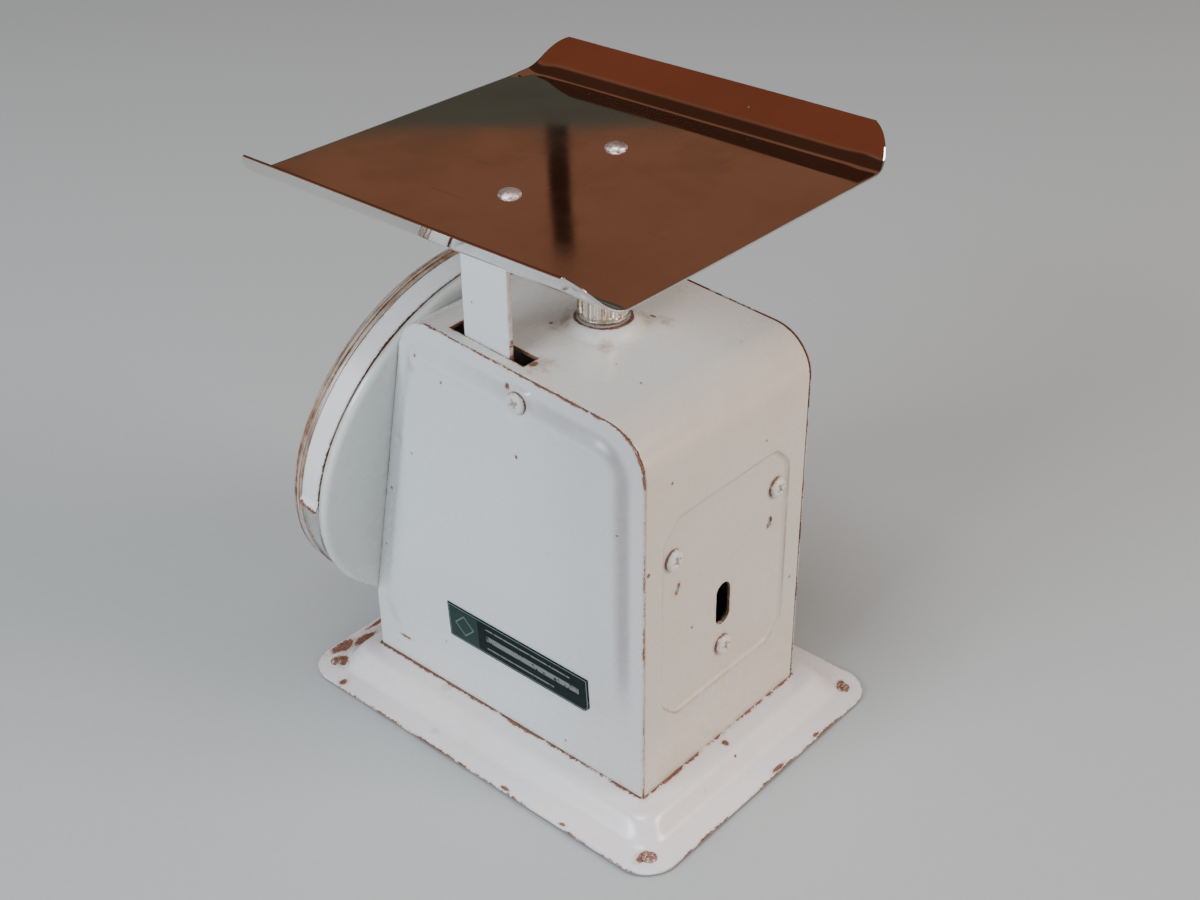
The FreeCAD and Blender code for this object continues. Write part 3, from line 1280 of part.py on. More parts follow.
def make_dial_pan():
    """A round dish, its back on the case front and its low wall turned forward."""
    radius, bore, skin = size["dial_radius"], SHAFT_BUSH_RADIUS + RUNNING, size["skin"]
    step = radius - PAN_STEP
    wall = step - 1.2
    pan = turned("dial_pan", [
        (bore, 0, 0), (radius, 0, PAN_CORNER), (radius, PAN_WALL_HEIGHT, 0.4), (step, PAN_WALL_HEIGHT, 0.2),
        (step, PAN_STEP_HEIGHT, 0), (wall, PAN_STEP_HEIGHT, 0), (wall, skin, 1.6), (bore, skin, 0)])
    cut(pan, "XY", -1, 2, *[circle(x, v, SMALL_SHANK + CLEAR) for x, v in PAN_SCREWS],
        *[circle(x, v, SPACER_BORE) for x, v in SPACERS])
    pan.Placement = dial_place
    keep("dial_pan", pan)
    screws = group("pan_screws", [
        pan_screw((x, v, skin), (0, 0, 1), 2.8, 1.8, SMALL_SHANK, 5.2) for x, v in PAN_SCREWS])
    screws.Placement = dial_place


def make_dial_face():
    """The dial plate on its four spacers."""
    low, skin = size["dial_face_depth"], size["skin"]
    spacers = group("dial_spacers", [
        ring(SPACER_RADIUS, SPACER_BORE, low - skin, (x, v, skin), (0, 0, 1)) for x, v in SPACERS])
    spacers.Placement = dial_place
    face = make_body("dial_plate")
    high = f"Sheet.dial_face_depth + {DIAL_SKIN}"
    add(face, "XY", "Sheet.dial_face_depth", high, circle(0, 0, "Sheet.dial_face_radius"))
    cut(face, "XY", "Sheet.dial_face_depth", high, circle(0, 0, 4.0),
        *[circle(x, v, SPACER_BORE) for x, v in SPACERS])
    face.Placement = dial_place
    keep("dial_plate", face)
    screws = group("dial_screws", [
        pan_screw((x, v, low + DIAL_SKIN), (0, 0, 1), 2.2, 1.3, SPACER_BORE - CLEAR, low - CLEAR)
        for x, v in SPACERS])
    screws.Placement = dial_place


LENS_BEAD, LENS_DOME, SKIRT_SKIN = 0.7, 1.6, 1.1


def make_lens():
    """A clear domed cap whose skirt fits round the pan's inner wall."""
    outer, thick, depth = size["lens_radius"], size["lens_skin"], size["dial_depth"]
    step, rim = size["band_front"] + 0.2, outer + LENS_BEAD
    crown, skirt_end, skirt_inner = depth + LENS_DOME, PAN_WALL_HEIGHT + 0.2, outer - SKIRT_SKIN
    lens = turned("dial_lens", [
        (outer, skirt_end, 0), (outer, step, 0), (rim, step, 0), (rim, depth, 3.2),
        (0, crown, 0), (0, crown - thick, 0), (outer - thick + 0.4, depth - thick, 1.8),
        (skirt_inner, 12.0, 0), (skirt_inner, skirt_end, 0)])
    lens.Placement = dial_place
    keep("dial_lens", lens)


def make_band():
    """A painted strap round the upper part of the lens skirt, its two ends turned out."""
    body = make_body("rim_band")
    inner, outer = size["lens_radius"] + RUNNING, size["dial_radius"] - CLEAR
    end = math.radians(-size["band_end_angle"])

    def at(radius, angle):
        return Vector(radius * math.cos(angle), radius * math.sin(angle), 0)

    other = math.pi - end
    arc = [
        Part.Arc(at(outer, end), at(outer, math.pi / 2), at(outer, other)),
        Part.LineSegment(at(outer, other), at(inner, other)),
        Part.Arc(at(inner, other), at(inner, math.pi / 2), at(inner, end)),
        Part.LineSegment(at(inner, end), at(outer, end)),
    ]
    add(body, "XY", "Sheet.band_rear", "Sheet.band_front", outline(arc))
    root = at(outer - 0.3, end)
    lug_tip, lug_top = root.x + 1.1, root.y + 1.2
    for side in (-1, 1):
        add(body, "XY", "Sheet.band_rear", "Sheet.band_front", rounded([
            (side * root.x, root.y, 0), (side * lug_tip, root.y, 0.3), (side * lug_tip, lug_top, 0.3),
            (side * root.x, lug_top, 0)]))
    body.Placement = dial_place
    keep("rim_band", body)


# ---------------------------------------------------------------- build and export

def build():
    make_base()
    make_feet()
    make_base_screws()
    make_overload_stop()
    make_case_shell()
    make_side_cover("side_cover_right", 1)
    make_side_cover("side_cover_left", -1)
    make_case_screws()
    make_label_plate()
    make_main_frame()
    make_top_bracket()
    make_pivots()
    make_adjuster()
    make_spring_hanger()
    make_springs()
    make_spring_yoke()
    make_tray_bracket()
    make_stay_pins()
    make_tray()
    make_stay("upper_stay", "upper_pivot_height")
    make_stay("lower_stay", "lower_pivot_height")
    make_rack()
    make_shaft_bracket()
    make_shaft()
    make_pointer()
    make_dial_pan()
    make_dial_face()
    make_lens()
    make_band()
    doc.recompute()


def export():
    for thing in doc.Objects:
        if "Invalid" in thing.State or "Error" in thing.State:
            raise RuntimeError(f"{thing.Name} ({thing.Label}) failed: {thing.State}")
    for label, thing in NODES.items():
        shape = thing.Shape
        if shape.isNull() or not shape.isValid() or not shape.Solids:
            raise RuntimeError(f"{label} has no valid shape")
    os.makedirs("parts", exist_ok=True)
    for label, thing in NODES.items():
        thing.Shape.exportStep(f"parts/{label}.step")


build()
export()
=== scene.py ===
"""The spring scale's looks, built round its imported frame. Lengths are millimetres until a mesh is made."""
import json
import math
import random

import bmesh
import bpy
import numpy as np
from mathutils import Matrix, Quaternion, Vector


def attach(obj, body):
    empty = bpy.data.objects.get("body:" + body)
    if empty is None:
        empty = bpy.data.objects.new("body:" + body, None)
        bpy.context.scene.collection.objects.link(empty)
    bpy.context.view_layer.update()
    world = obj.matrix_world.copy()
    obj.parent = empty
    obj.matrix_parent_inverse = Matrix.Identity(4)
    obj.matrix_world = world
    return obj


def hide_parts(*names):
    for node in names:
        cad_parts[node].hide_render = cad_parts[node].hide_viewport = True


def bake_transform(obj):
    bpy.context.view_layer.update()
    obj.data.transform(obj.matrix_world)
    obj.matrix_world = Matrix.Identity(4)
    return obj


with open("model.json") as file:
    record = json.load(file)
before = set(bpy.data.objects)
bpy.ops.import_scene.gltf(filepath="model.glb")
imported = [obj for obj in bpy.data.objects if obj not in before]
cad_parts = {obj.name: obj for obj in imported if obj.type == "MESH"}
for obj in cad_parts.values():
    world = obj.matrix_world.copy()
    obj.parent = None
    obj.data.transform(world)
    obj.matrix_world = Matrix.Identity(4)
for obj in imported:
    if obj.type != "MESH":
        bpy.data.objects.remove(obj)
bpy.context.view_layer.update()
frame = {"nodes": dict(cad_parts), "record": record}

MM = 0.001
random.seed(7)

# ---------------------------------------------------------------- driving sizes, as in the frame

BASE_X, BASE_Y, BASE_CORNER = 68.5, 90.0, 13.0
FLANGE_TOP, DECK, SHEET = 2.2, 10.0, 1.0
FEET = [(x, y) for x in (-59.0, 59.0) for y in (-81.5, 81.5)]
WRAP_X, COVER_X = 44.0, 45.1
CASE_FRONT, CASE_BACK = -68.8, 66.4
KNEE, TOP_AT_ORIGIN = 35.3, 163.2
TILT, FALL = math.radians(11.86), math.radians(4.54)
KNEE_R, FRONT_R, BACK_R = 8.0, 14.0, 17.0
FIELD_RISE = 2.8
RECESS_X, RECESS_LOW, RECESS_HIGH, RECESS_CUT, RECESS_DEPTH = 35.1, 37.0, 121.0, 8.0, 1.2
ACCESS_Z, ACCESS_W, ACCESS_STRAIGHT = 69.9, 7.8, (17.6 - 7.8) / 2
SLIT_X, SLIT_Z, SLIT_HALF_X, SLIT_HALF_Z = 25.9, 90.6, 0.8, 1.7
BACK_SCREWS = ((-28.75, 104.4), (28.75, 104.4), (0.0, 51.9))
COVER_SCREW, SCREW_SEAT = (14.1, 152.9), 1.7
CASE_MIDDLE = (0, 0, 80)
BACK_UP_TO, TOP_FROM, TOP_REACH = 135, 150, 45
COLLAR_TOP, KNOB_HOLE = 165.0, 5.4
SLOT_IN, SLOT_OUT, SLOT_FRONT, SLOT_BACK = 33.0, 40.0, -23.0, 11.0
KNOB_Y, KNOB_FOOT, KNOB_R, FLUTES, FLUTE_DEPTH = 10.6, 165.6, 9.0, 18, 0.85
TRAY_TOP, TRAY_SKIN, TRAY_FLAT, TRAY_HALF = 213.1, 0.8, 61.7, 77.8
TRAY_FRONT, TRAY_BACK, LIP_BEND, LIP_ANGLE, LIP_CORNER = -84.3, 74.6, 12.0, math.radians(50), 15.0
RIVET_X, RIVET_Y = 26.0, -6.0
ARM_X, ARM_SKIN, ARM_FRONT, ARM_BACK, ARM_LOW = 39.6, 2.0, -16.5, 4.5, 50.0
SPRING_X, SPRING_R, SPRING_WIRE, SPRING_LOW, SPRING_HIGH, SPRING_TURNS = 14.0, 4.5, 0.6, 54.5, 123.5, 27
DIAL_R, LENS_R, PAN_RIM, BAND_REAR, BAND_FRONT, DIAL_DEPTH = 75.0, 74.0, 3.4, 4.2, 12.7, 18.4
BAND_END = math.radians(4.0)
FACE_R, FACE_W, TICKS_R, FIGURES_R, RING_R = 68.0, 6.6, 65.0, 44.0, 26.0
PRINT = (FACE_W - 0.02, FACE_W + 0.06)
FULL_TURN, FULL_GRAMS = math.radians(351.27), 2000
EDGE_BEVEL = 0.3

DIAL = Vector((0, CASE_FRONT + (95.235 - KNEE) * math.tan(TILT), 95.235))
DIAL_UP = Vector((0, math.sin(TILT), math.cos(TILT)))
DIAL_OUT = Vector((0, -math.cos(TILT), math.sin(TILT)))


def top_height(y):
    """Height of the case's sloping top over a place from front to back."""
    return TOP_AT_ORIGIN - y * math.tan(FALL)


# ---------------------------------------------------------------- number helpers

def smooth(low, high, value):
    """Eases from 0 at low to 1 at high."""
    t = np.clip((value - low) / (high - low), 0.0, 1.0)
    return t * t * (3 - 2 * t)


def soft_min(values, blend):
    """The smallest of several arrays, with the corners between them rounded."""
    values = np.array(values)
    least = values.min(0)
    return least - blend * np.log(np.exp(-(values - least) / blend).sum(0))


def spread(*stretches):
    """Sorted grid lines from (first, last, step) stretches, without near doubles."""
    lines = np.unique(np.concatenate([np.linspace(a, b, max(2, round((b - a) / step) + 1))
                                      for a, b, step in stretches]))
    ends = {a for a, _, _ in stretches} | {b for _, b, _ in stretches}
    kept = [lines[0]]
    for line in lines[1:]:
        if line - kept[-1] > 0.22:
            kept.append(line)
        elif min(abs(line - e) for e in ends) < 1e-9:
            kept[-1] = line
    return np.array(kept)


def inset(corners, distance):
    """The corners of a convex outline moved inwards."""
    moved = []
    count = len(corners)
    for i, (a, b, radius) in enumerate(corners):
        here = Vector((a, b))
        before = (Vector(corners[i - 1][:2]) - here).normalized()
        after = (Vector(corners[(i + 1) % count][:2]) - here).normalized()
        half = before.angle(after) / 2
        place = here + (before + after).normalized() * (distance / math.sin(half))
        moved.append((place.x, place.y, max(radius - distance, 0.02)))
    return moved


def corner_arc(before, here, after, radius, steps):
    """Points along the rounding of one corner."""
    here = Vector(here)
    to_before = (Vector(before) - here).normalized()
    to_after = (Vector(after) - here).normalized()
    half = to_before.angle(to_after) / 2
    radius = max(radius, 0.02)
    centre = here + (to_before + to_after).normalized() * (radius / math.sin(half))
    start = here + to_before * radius / math.tan(half) - centre
    end = here + to_after * radius / math.tan(half) - centre
    turn = math.atan2(start.x * end.y - start.y * end.x, start.dot(end))
    points = []
    for k in range(steps + 1):
        angle = turn * k / steps
        points.append(centre + Vector((start.x * math.cos(angle) - start.y * math.sin(angle),
                                       start.x * math.sin(angle) + start.y * math.cos(angle))))
    return points


def rounded_loop(corners, arc_steps, side_steps):
    """A closed loop of points round an outline whose corners are (a, b, radius)."""
    arcs = []
    count = len(corners)
    for i, corner in enumerate(corners):
        arcs.append(corner_arc(corners[i - 1][:2], corner[:2], corners[(i + 1) % count][:2],
                               corner[2], arc_steps))
    loop = []
    for i, arc in enumerate(arcs):
        loop += arc
        following = arcs[(i + 1) % count][0]
        loop += [arc[-1].lerp(following, k / side_steps) for k in range(1, side_steps)]
    return np.array([tuple(p) for p in loop])


def rectangle_corners(half_a, half_b, radius):
    return [(-half_a, -half_b, radius), (half_a, -half_b, radius), (half_a, half_b, radius),
            (-half_a, half_b, radius)]


def case_corners():
    """The case from the side: (y, z, radius) from the bottom front round to the bottom back."""
    tangent, fall = math.tan(TILT), math.tan(FALL)
    front = (CASE_FRONT + (TOP_AT_ORIGIN - KNEE) * tangent) / (1 + tangent * fall)
    return [(CASE_FRONT, DECK, 0.02), (CASE_FRONT, KNEE, KNEE_R), (front, top_height(front), FRONT_R),
            (CASE_BACK, top_height(CASE_BACK), BACK_R), (CASE_BACK, DECK, 0.02)]


# ---------------------------------------------------------------- mesh helpers

def skin(loops, closed=True, caps=(False, False)):
    """Faces between equal loops of points."""
    count = len(loops[0])
    points = np.concatenate(loops)
    faces = []
    for i in range(len(loops) - 1):
        for k in range(count if closed else count - 1):
            a, b = i * count + k, i * count + (k + 1) % count
            faces.append((a, b, b + count, a + count))
    if caps[0]:
        faces.append(tuple(reversed(range(count))))
    if caps[1]:
        faces.append(tuple(range((len(loops) - 1) * count, len(loops) * count)))
    return points, faces


def lathe(profile, steps):
    """Rings round the local z axis through (radius, height) points."""
    angles = np.linspace(0, 2 * math.pi, steps, endpoint=False)
    return [np.stack([r * np.cos(angles), r * np.sin(angles), np.full(steps, h)], 1) for r, h in profile]


def sheet_faces(rows, columns):
    """The quads of a grid of points that is stored row by row."""
    return [(i * columns + k, i * columns + k + 1, (i + 1) * columns + k + 1, (i + 1) * columns + k)
            for i in range(rows - 1) for k in range(columns - 1)]


def slab(low, high):
    """A box between two opposite corners."""
    (x0, y0, z0), (x1, y1, z1) = low, high
    loops = [np.array([(x0, y0, z), (x1, y0, z), (x1, y1, z), (x0, y1, z)]) for z in (z0, z1)]
    return skin(loops, caps=(True, True))


def to_dial(points):
    """Local (across, up the dial, outwards) points into the row frame."""
    points = np.asarray(points, float)
    basis = np.array([(1, 0, 0), tuple(DIAL_UP), tuple(DIAL_OUT)])
    return points @ basis + np.array(tuple(DIAL))


def to_axis(points, base, axis):
    """Local points with +z along an axis into the row frame."""
    turn = Vector((0, 0, 1)).rotation_difference(Vector(axis)).to_matrix()
    return np.asarray(points, float) @ np.array(turn).T + np.array(base, float)


def soften(profile, steps=4):
    """An open profile of (r, h, rounding) points with its corners made round."""
    result = []
    for i, (r, h, rounding) in enumerate(profile):
        if rounding <= 0 or i in (0, len(profile) - 1):
            result.append((r, h))
            continue
        arc = corner_arc(profile[i - 1][:2], (r, h), profile[i + 1][:2], rounding, steps)
        result += [tuple(p) for p in arc]
    return result


def joined(*parts):
    """Several (points, faces) meshes as one."""
    points, faces, shift = [], [], 0
    for part_points, part_faces in parts:
        points.append(np.asarray(part_points, float))
        faces += [tuple(i + shift for i in face) for face in part_faces]
        shift += len(part_points)
    return np.concatenate(points), faces


def link(name, data):
    """A new object with this data, in the scene."""
    obj = bpy.data.objects.new(name, data)
    bpy.context.scene.collection.objects.link(obj)
    return obj


def piece(name, mesh, material, body, replaces=(), thickness=0.0, bevel=0.0, sharp=35.0,
          marks=None, inside=None):
    """Makes an object of a (points, faces) mesh in millimetres and hangs it on its body.

    A closed mesh gets its normals from its own shape, and an open sheet faces away from the inside point.
    Marks are named values at the points, for the material to read. Edges over sharp degrees stay sharp."""
    points, faces = mesh
    data = bpy.data.meshes.new(name)
    data.from_pydata((np.asarray(points) * MM).tolist(), [], faces)
    data.validate()
    orient(data, inside)
    for mark, values in (marks or {}).items():
        layer = data.attributes.new(mark, "FLOAT", "POINT")
        layer.data.foreach_set("value", np.asarray(values, np.float32))
    obj = link(name, data)
    data.materials.append(material)
    data.shade_smooth()
    if thickness:
        solid = obj.modifiers.new("thickness", "SOLIDIFY")
        solid.thickness = thickness * MM
        solid.offset = -1
        solid.use_even_offset = True
    if bevel:
        edge = obj.modifiers.new("edges", "BEVEL")
        edge.width = bevel * MM
        edge.segments = 2
        edge.limit_method = "ANGLE"
        edge.angle_limit = math.radians(40)
        edge.harden_normals = True
    apply_modifiers(obj)
    obj.data.set_sharp_from_angle(angle=math.radians(sharp))
    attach(obj, body)
    if replaces:
        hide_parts(*replaces)


def orient(data, inside):
    """Turns a closed mesh's faces outwards, or an open sheet's faces away from a point inside it."""
    form = bmesh.new()
    form.from_mesh(data)
    if inside is None:
        bmesh.ops.recalc_face_normals(form, faces=form.faces)
    else:
        form.normal_update()
        core = Vector(inside) * MM
        agreement = sum((f.calc_center_median() - core).normalized().dot(f.normal) * f.calc_area()
                        for f in form.faces)
        if agreement < 0:
            bmesh.ops.reverse_faces(form, faces=form.faces)
    form.to_mesh(data)
    form.free()


def apply_modifiers(obj):
    if not obj.modifiers:
        return
    graph = bpy.context.evaluated_depsgraph_get()
    final = bpy.data.meshes.new_from_object(obj.evaluated_get(graph), depsgraph=graph)
    obj.modifiers.clear()
    before = obj.data
    obj.data = final
    bpy.data.meshes.remove(before)


# ---------------------------------------------------------------- material helpers

class Paint:
    """A node material under construction. Sockets and plain numbers can be mixed freely in its calls."""

    def __init__(self, name):
        self.material = bpy.data.materials.new(name)
        self.material.use_nodes = True
        self.nodes = self.material.node_tree.nodes
        self.links = self.material.node_tree.links
        self.shader = self.nodes["Principled BSDF"]
        self.place = self.node("ShaderNodeTexCoord").outputs["Object"]

    def node(self, kind, **settings):
        made = self.nodes.new(kind)
        for key, value in settings.items():
            setattr(made, key, value)
        return made

    def feed(self, socket, value):
        if isinstance(value, bpy.types.NodeSocket):
            self.links.new(value, socket)
        elif isinstance(value, (tuple, list)) and len(value) == 3 and len(socket.default_value) == 4:
            socket.default_value = (*value, 1.0)
        else:
            socket.default_value = value

    def set(self, **values):
        """Feeds the shader's own sockets, named with underscores for spaces."""
        for key, value in values.items():
            self.feed(self.shader.inputs[key.replace("_", " ")], value)

    def math(self, operation, *values):
        made = self.node("ShaderNodeMath", operation=operation)
        for socket, value in zip(made.inputs, values):
            self.feed(socket, value)
        return made.outputs[0]

    def times(self, a, b):
        return self.math("MULTIPLY", a, b)

    def plus(self, a, b):
        return self.math("ADD", a, b)

    def minus(self, a, b):
        return self.math("SUBTRACT", a, b)

    def vector(self, operation, *values):
        made = self.node("ShaderNodeVectorMath", operation=operation)
        for socket, value in zip(made.inputs, values):
            self.feed(socket, value)
        return made.outputs["Value" if operation == "LENGTH" else "Vector"]

    def axes(self, place=None):
        """The x, y and z of a vector, or of the place on the object."""
        made = self.node("ShaderNodeSeparateXYZ")
        self.feed(made.inputs[0], place or self.place)
        return made.outputs[0], made.outputs[1], made.outputs[2]

    def ramp(self, value, low, high, to_low=0.0, to_high=1.0):
        """Eases from to_low at low to to_high at high."""
        made = self.node("ShaderNodeMapRange", interpolation_type="SMOOTHSTEP")
        for socket, number in zip(made.inputs, (value, low, high, to_low, to_high)):
            self.feed(socket, number)
        return made.outputs[0]

    def noise(self, scale, detail, roughness, place=None):
        made = self.node("ShaderNodeTexNoise")
        self.feed(made.inputs["Vector"], place or self.place)
        self.feed(made.inputs["Scale"], scale)
        self.feed(made.inputs["Detail"], detail)
        self.feed(made.inputs["Roughness"], roughness)
        return made.outputs["Fac"]

    def stretched(self, x, y, z):
        """Object coordinates scaled along each axis."""
        return self.vector("MULTIPLY", self.place, (x, y, z))

    def sheet(self, a, by_a, b, by_b):
        """A place in the plane of two scaled values."""
        made = self.node("ShaderNodeCombineXYZ")
        self.feed(made.inputs[0], self.times(a, by_a))
        self.feed(made.inputs[1], self.times(b, by_b))
        return made.outputs[0]

    def dots(self, scale, share, radius):
        """Small round specks in a share of the cells of a Voronoi pattern."""
        made = self.node("ShaderNodeTexVoronoi")
        self.feed(made.inputs["Vector"], self.place)
        self.feed(made.inputs["Scale"], scale)
        picked = self.math("LESS_THAN", self.axes(made.outputs["Color"])[0], share)
        near = self.ramp(made.outputs["Distance"], radius, radius * 0.6)
        return self.times(picked, near)

    def mix(self, factor, a, b):
        made = self.node("ShaderNodeMix", data_type="RGBA")
        self.feed(made.inputs[0], factor)
        self.feed(made.inputs[6], a)
        self.feed(made.inputs[7], b)
        return made.outputs[2]

    def mix_value(self, factor, a, b):
        made = self.node("ShaderNodeMix", data_type="FLOAT")
        self.feed(made.inputs[0], factor)
        self.feed(made.inputs[2], a)
        self.feed(made.inputs[3], b)
        return made.outputs[0]

    def mark(self, name):
        """The values that a mesh carries under a name."""
        return self.node("ShaderNodeAttribute", attribute_name=name).outputs["Fac"]

    def bump(self, height, distance, strength, normal=None):
        made = self.node("ShaderNodeBump")
        self.feed(made.inputs["Height"], height)
        made.inputs["Distance"].default_value = distance * MM
        made.inputs["Strength"].default_value = strength
        if normal is not None:
            self.links.new(normal, made.inputs["Normal"])
        return made.outputs[0]

    def greatest(self, *values):
        result = values[0]
        for value in values[1:]:
            result = self.math("MAXIMUM", result, value)
        return result

    def spots(self, spots, ragged=0.35):
        """Ragged patches at (x, y, z, radius) or (x, y, z, (radius x, y, z)) places in millimetres.

        Returns a mask of the patches and a fainter mask of the stain round them."""
        wobble = self.plus(self.times(self.noise(260.0, 3.0, 0.6), 0.7),
                           self.times(self.noise(1100.0, 4.0, 0.75), 0.5))
        masks, halos = [], []
        for x, y, z, radius in spots:
            radii = radius if isinstance(radius, tuple) else (radius, radius, radius)
            away = self.vector("SUBTRACT", self.place, (x * MM, y * MM, z * MM))
            scaled = self.vector("MULTIPLY", away, tuple(1 / (r * MM) for r in radii))
            distance = self.plus(self.vector("LENGTH", scaled),
                                 self.times(self.minus(wobble, 0.6), 5 * ragged))
            masks.append(self.ramp(distance, 1.05, 0.80))
            halos.append(self.ramp(distance, 2.0, 0.9))
        return self.greatest(*masks), self.greatest(*halos)


RUST_DARK, RUST_MID, RUST_PALE = (0.13, 0.042, 0.027), (0.27, 0.115, 0.068), (0.46, 0.28, 0.18)
# The last colour here is painted shade, laid on the covers' field slopes and round the sunk back panel's
# outline.
STAIN, FAINT_SPECK, PAINTED_SHADE = (0.44, 0.25, 0.145), (0.46, 0.25, 0.15), (0.26, 0.225, 0.215)
COAT_WEIGHT, COAT_ROUGHNESS, RUST_ROUGHNESS, DULLING = 0.5, 0.2, 0.85, 0.25


def rust_colour(paint):
    """Rust in three browns."""
    patches = paint.noise(900.0, 4.0, 0.7)
    colour = paint.mix(paint.ramp(patches, 0.38, 0.62), RUST_DARK, RUST_MID)
    return paint.mix(paint.ramp(paint.noise(2600.0, 2.0, 0.6), 0.56, 0.72), colour, RUST_PALE)


def edge_rust(paint, mark, reach, gain, grain=210.0):
    """How deep in an edge's ragged rust a place is. The mark is its distance from that edge in mm."""
    wide = paint.noise(grain * 0.22, 2.0, 0.5)
    middle = paint.noise(grain, 3.0, 0.6)
    fine = paint.noise(grain * 4.3, 3.0, 0.7)
    level = paint.plus(paint.times(wide, 0.8), paint.times(middle, 0.6))
    level = paint.plus(level, paint.times(fine, 0.6))
    level = paint.plus(level, paint.minus(gain, 1.96))
    return paint.minus(paint.times(level, reach * 4.2), mark)


def enamel(name, tint, warm, rust=None, gloss=0.27, speckle=0.02, stain=1.0):
    """Old stoved enamel: faint mottling, orange peel and rust.

    rust(paint) gives the rust's depths from edges, a mask of patches, a mask of stains and then any number of
    films of dirt and of painted shade, each a mask and a colour."""
    paint = Paint(name)
    depths, patches, stains, *films = rust(paint) if rust else ((), 0.0, 0.0)
    mottle = paint.noise(14.0, 3.0, 0.55)
    colour = paint.mix(paint.ramp(mottle, 0.3, 0.7), tint, warm)
    cloud = paint.noise(55.0, 4.0, 0.6)
    grime = tuple(c * f for c, f in zip(warm, (0.84, 0.78, 0.72)))
    colour = paint.mix(paint.ramp(cloud, 0.55, 0.8, 0.0, 0.14 * stain), colour, grime)
    # Films of dirt, and films of painted shade on the case and covers.
    for share, over in films:
        colour = paint.mix(share, colour, over)
    blush = paint.ramp(paint.noise(380.0, 4.0, 0.65), 0.30, 0.75)
    masks = [paint.dots(230.0, speckle, 0.17), patches]
    stained = paint.times(stains, 0.7)
    if depths:
        depth = paint.greatest(*depths)
        masks.append(paint.ramp(depth, -0.03, 0.10))
        stained = paint.greatest(stained, paint.ramp(depth, -1.1, 0.05, 0.0, 0.6))
    colour = paint.mix(paint.times(stained, blush), colour, STAIN)
    red = paint.greatest(*masks)
    faint = paint.times(paint.dots(64.0, 0.05, 0.2), 0.3)
    colour = paint.mix(faint, colour, FAINT_SPECK)
    colour = paint.mix(red, colour, rust_colour(paint))
    shine = paint.ramp(paint.noise(90.0, 3.0, 0.6), 0.35, 0.75, gloss - 0.04, gloss + 0.08)
    rough_rust = paint.ramp(paint.noise(1500.0, 4.0, 0.7), 0.3, 0.7)
    normal = paint.bump(paint.noise(260.0, 2.0, 0.5), 0.03, 0.18)
    normal = paint.bump(paint.times(red, rough_rust), 0.2, 0.7, normal)
    paint.set(Base_Color=colour, Roughness=paint.mix_value(red, shine, RUST_ROUGHNESS), Normal=normal,
              Coat_Weight=COAT_WEIGHT, Coat_Roughness=COAT_ROUGHNESS)
    return paint.material


def metal(name, colour, roughness, grain=(1.0, 1.0, 1.0), worn=0.12):
    """Bare or plated metal with drawn grain and cloudy wear, up to DULLING rougher than it was new."""
    paint = Paint(name)
    lines = paint.noise(900.0, 5.0, 0.65, place=paint.stretched(*grain))
    cloud = paint.noise(60.0, 4.0, 0.6)
    dull = tuple(c * (1 - worn * 2) for c in colour)
    tone = paint.mix(paint.ramp(cloud, 0.35, 0.75, 0.0, 0.8), colour, dull)
    tone = paint.mix(paint.ramp(lines, 0.4, 0.7, 0.0, 0.2), tone, tuple(c * 0.7 for c in colour))
    rough = paint.ramp(paint.plus(lines, cloud), 0.7, 1.3, roughness, roughness + DULLING)
    paint.set(Base_Color=tone, Roughness=rough, Normal=paint.bump(lines, 0.02, 0.5), Metallic=1.0)
    return paint.material


# ---------------------------------------------------------------- base

def base_height(d):
    """Height of the base's upper surface at a distance in from its outline."""
    return FLANGE_TOP + 0.25 * smooth(2.0, 8.0, d) + (DECK - FLANGE_TOP - 0.25) * smooth(7.6, 16.4, d)


def base_loop(d, z):
    """The base's outline a distance in, at a height."""
    loop = rounded_loop(rectangle_corners(BASE_X - d, BASE_Y - d, BASE_CORNER - 0.35 * d), 14, 40)
    return np.column_stack([loop, np.full(len(loop), z)])


def rounded_rectangle_distance(points, half_x, half_y, radius):
    """Signed distance in the plan view, negative inside."""
    a = np.abs(points[:, 0]) - (half_x - radius)
    b = np.abs(points[:, 1]) - (half_y - radius)
    return np.hypot(np.maximum(a, 0), np.maximum(b, 0)) + np.minimum(np.maximum(a, b), 0) - radius


def base_rust(paint):
    chips = edge_rust(paint, paint.mark("edge_mm"), 0.65, 0.97, 190.0)
    seam = edge_rust(paint, paint.mark("joint_mm"), 0.95, 1.17, 230.0)
    patches, stains = paint.spots([
        (51.5, -86.6, 3.0, (6.0, 3.2, 5.0)), (42.0, -83.6, 4.0, (7.0, 2.4, 5.0)),
        (30.0, -87.6, 3.0, (7.0, 1.2, 5.0)), (57.5, -80.0, 2.2, (2.6, 4.2, 3.0)),
        (-6.0, 88.8, 2.2, (3.6, 1.0, 3.0)), (3.0, 71.0, 10.0, (1.2, 1.6, 3.0)),
        (66.0, -69.6, 2.2, (2.0, 1.4, 3.0)),
        (67.2, 20.0, 2.2, (0.8, 2.0, 3.0)), (67.0, 48.0, 2.2, (0.9, 1.6, 3.0)),
        (-30.0, 88.9, 2.2, (2.2, 0.9, 3.0)), (24.0, 78.5, 9.0, (0.7, 0.7, 3.0)),
        (60.4, 79.6, 2.2, (3.0, 2.0, 3.0)), (-60.6, 79.2, 2.2, (2.0, 1.4, 3.0)),
    ])
    return (chips, seam), patches, stains


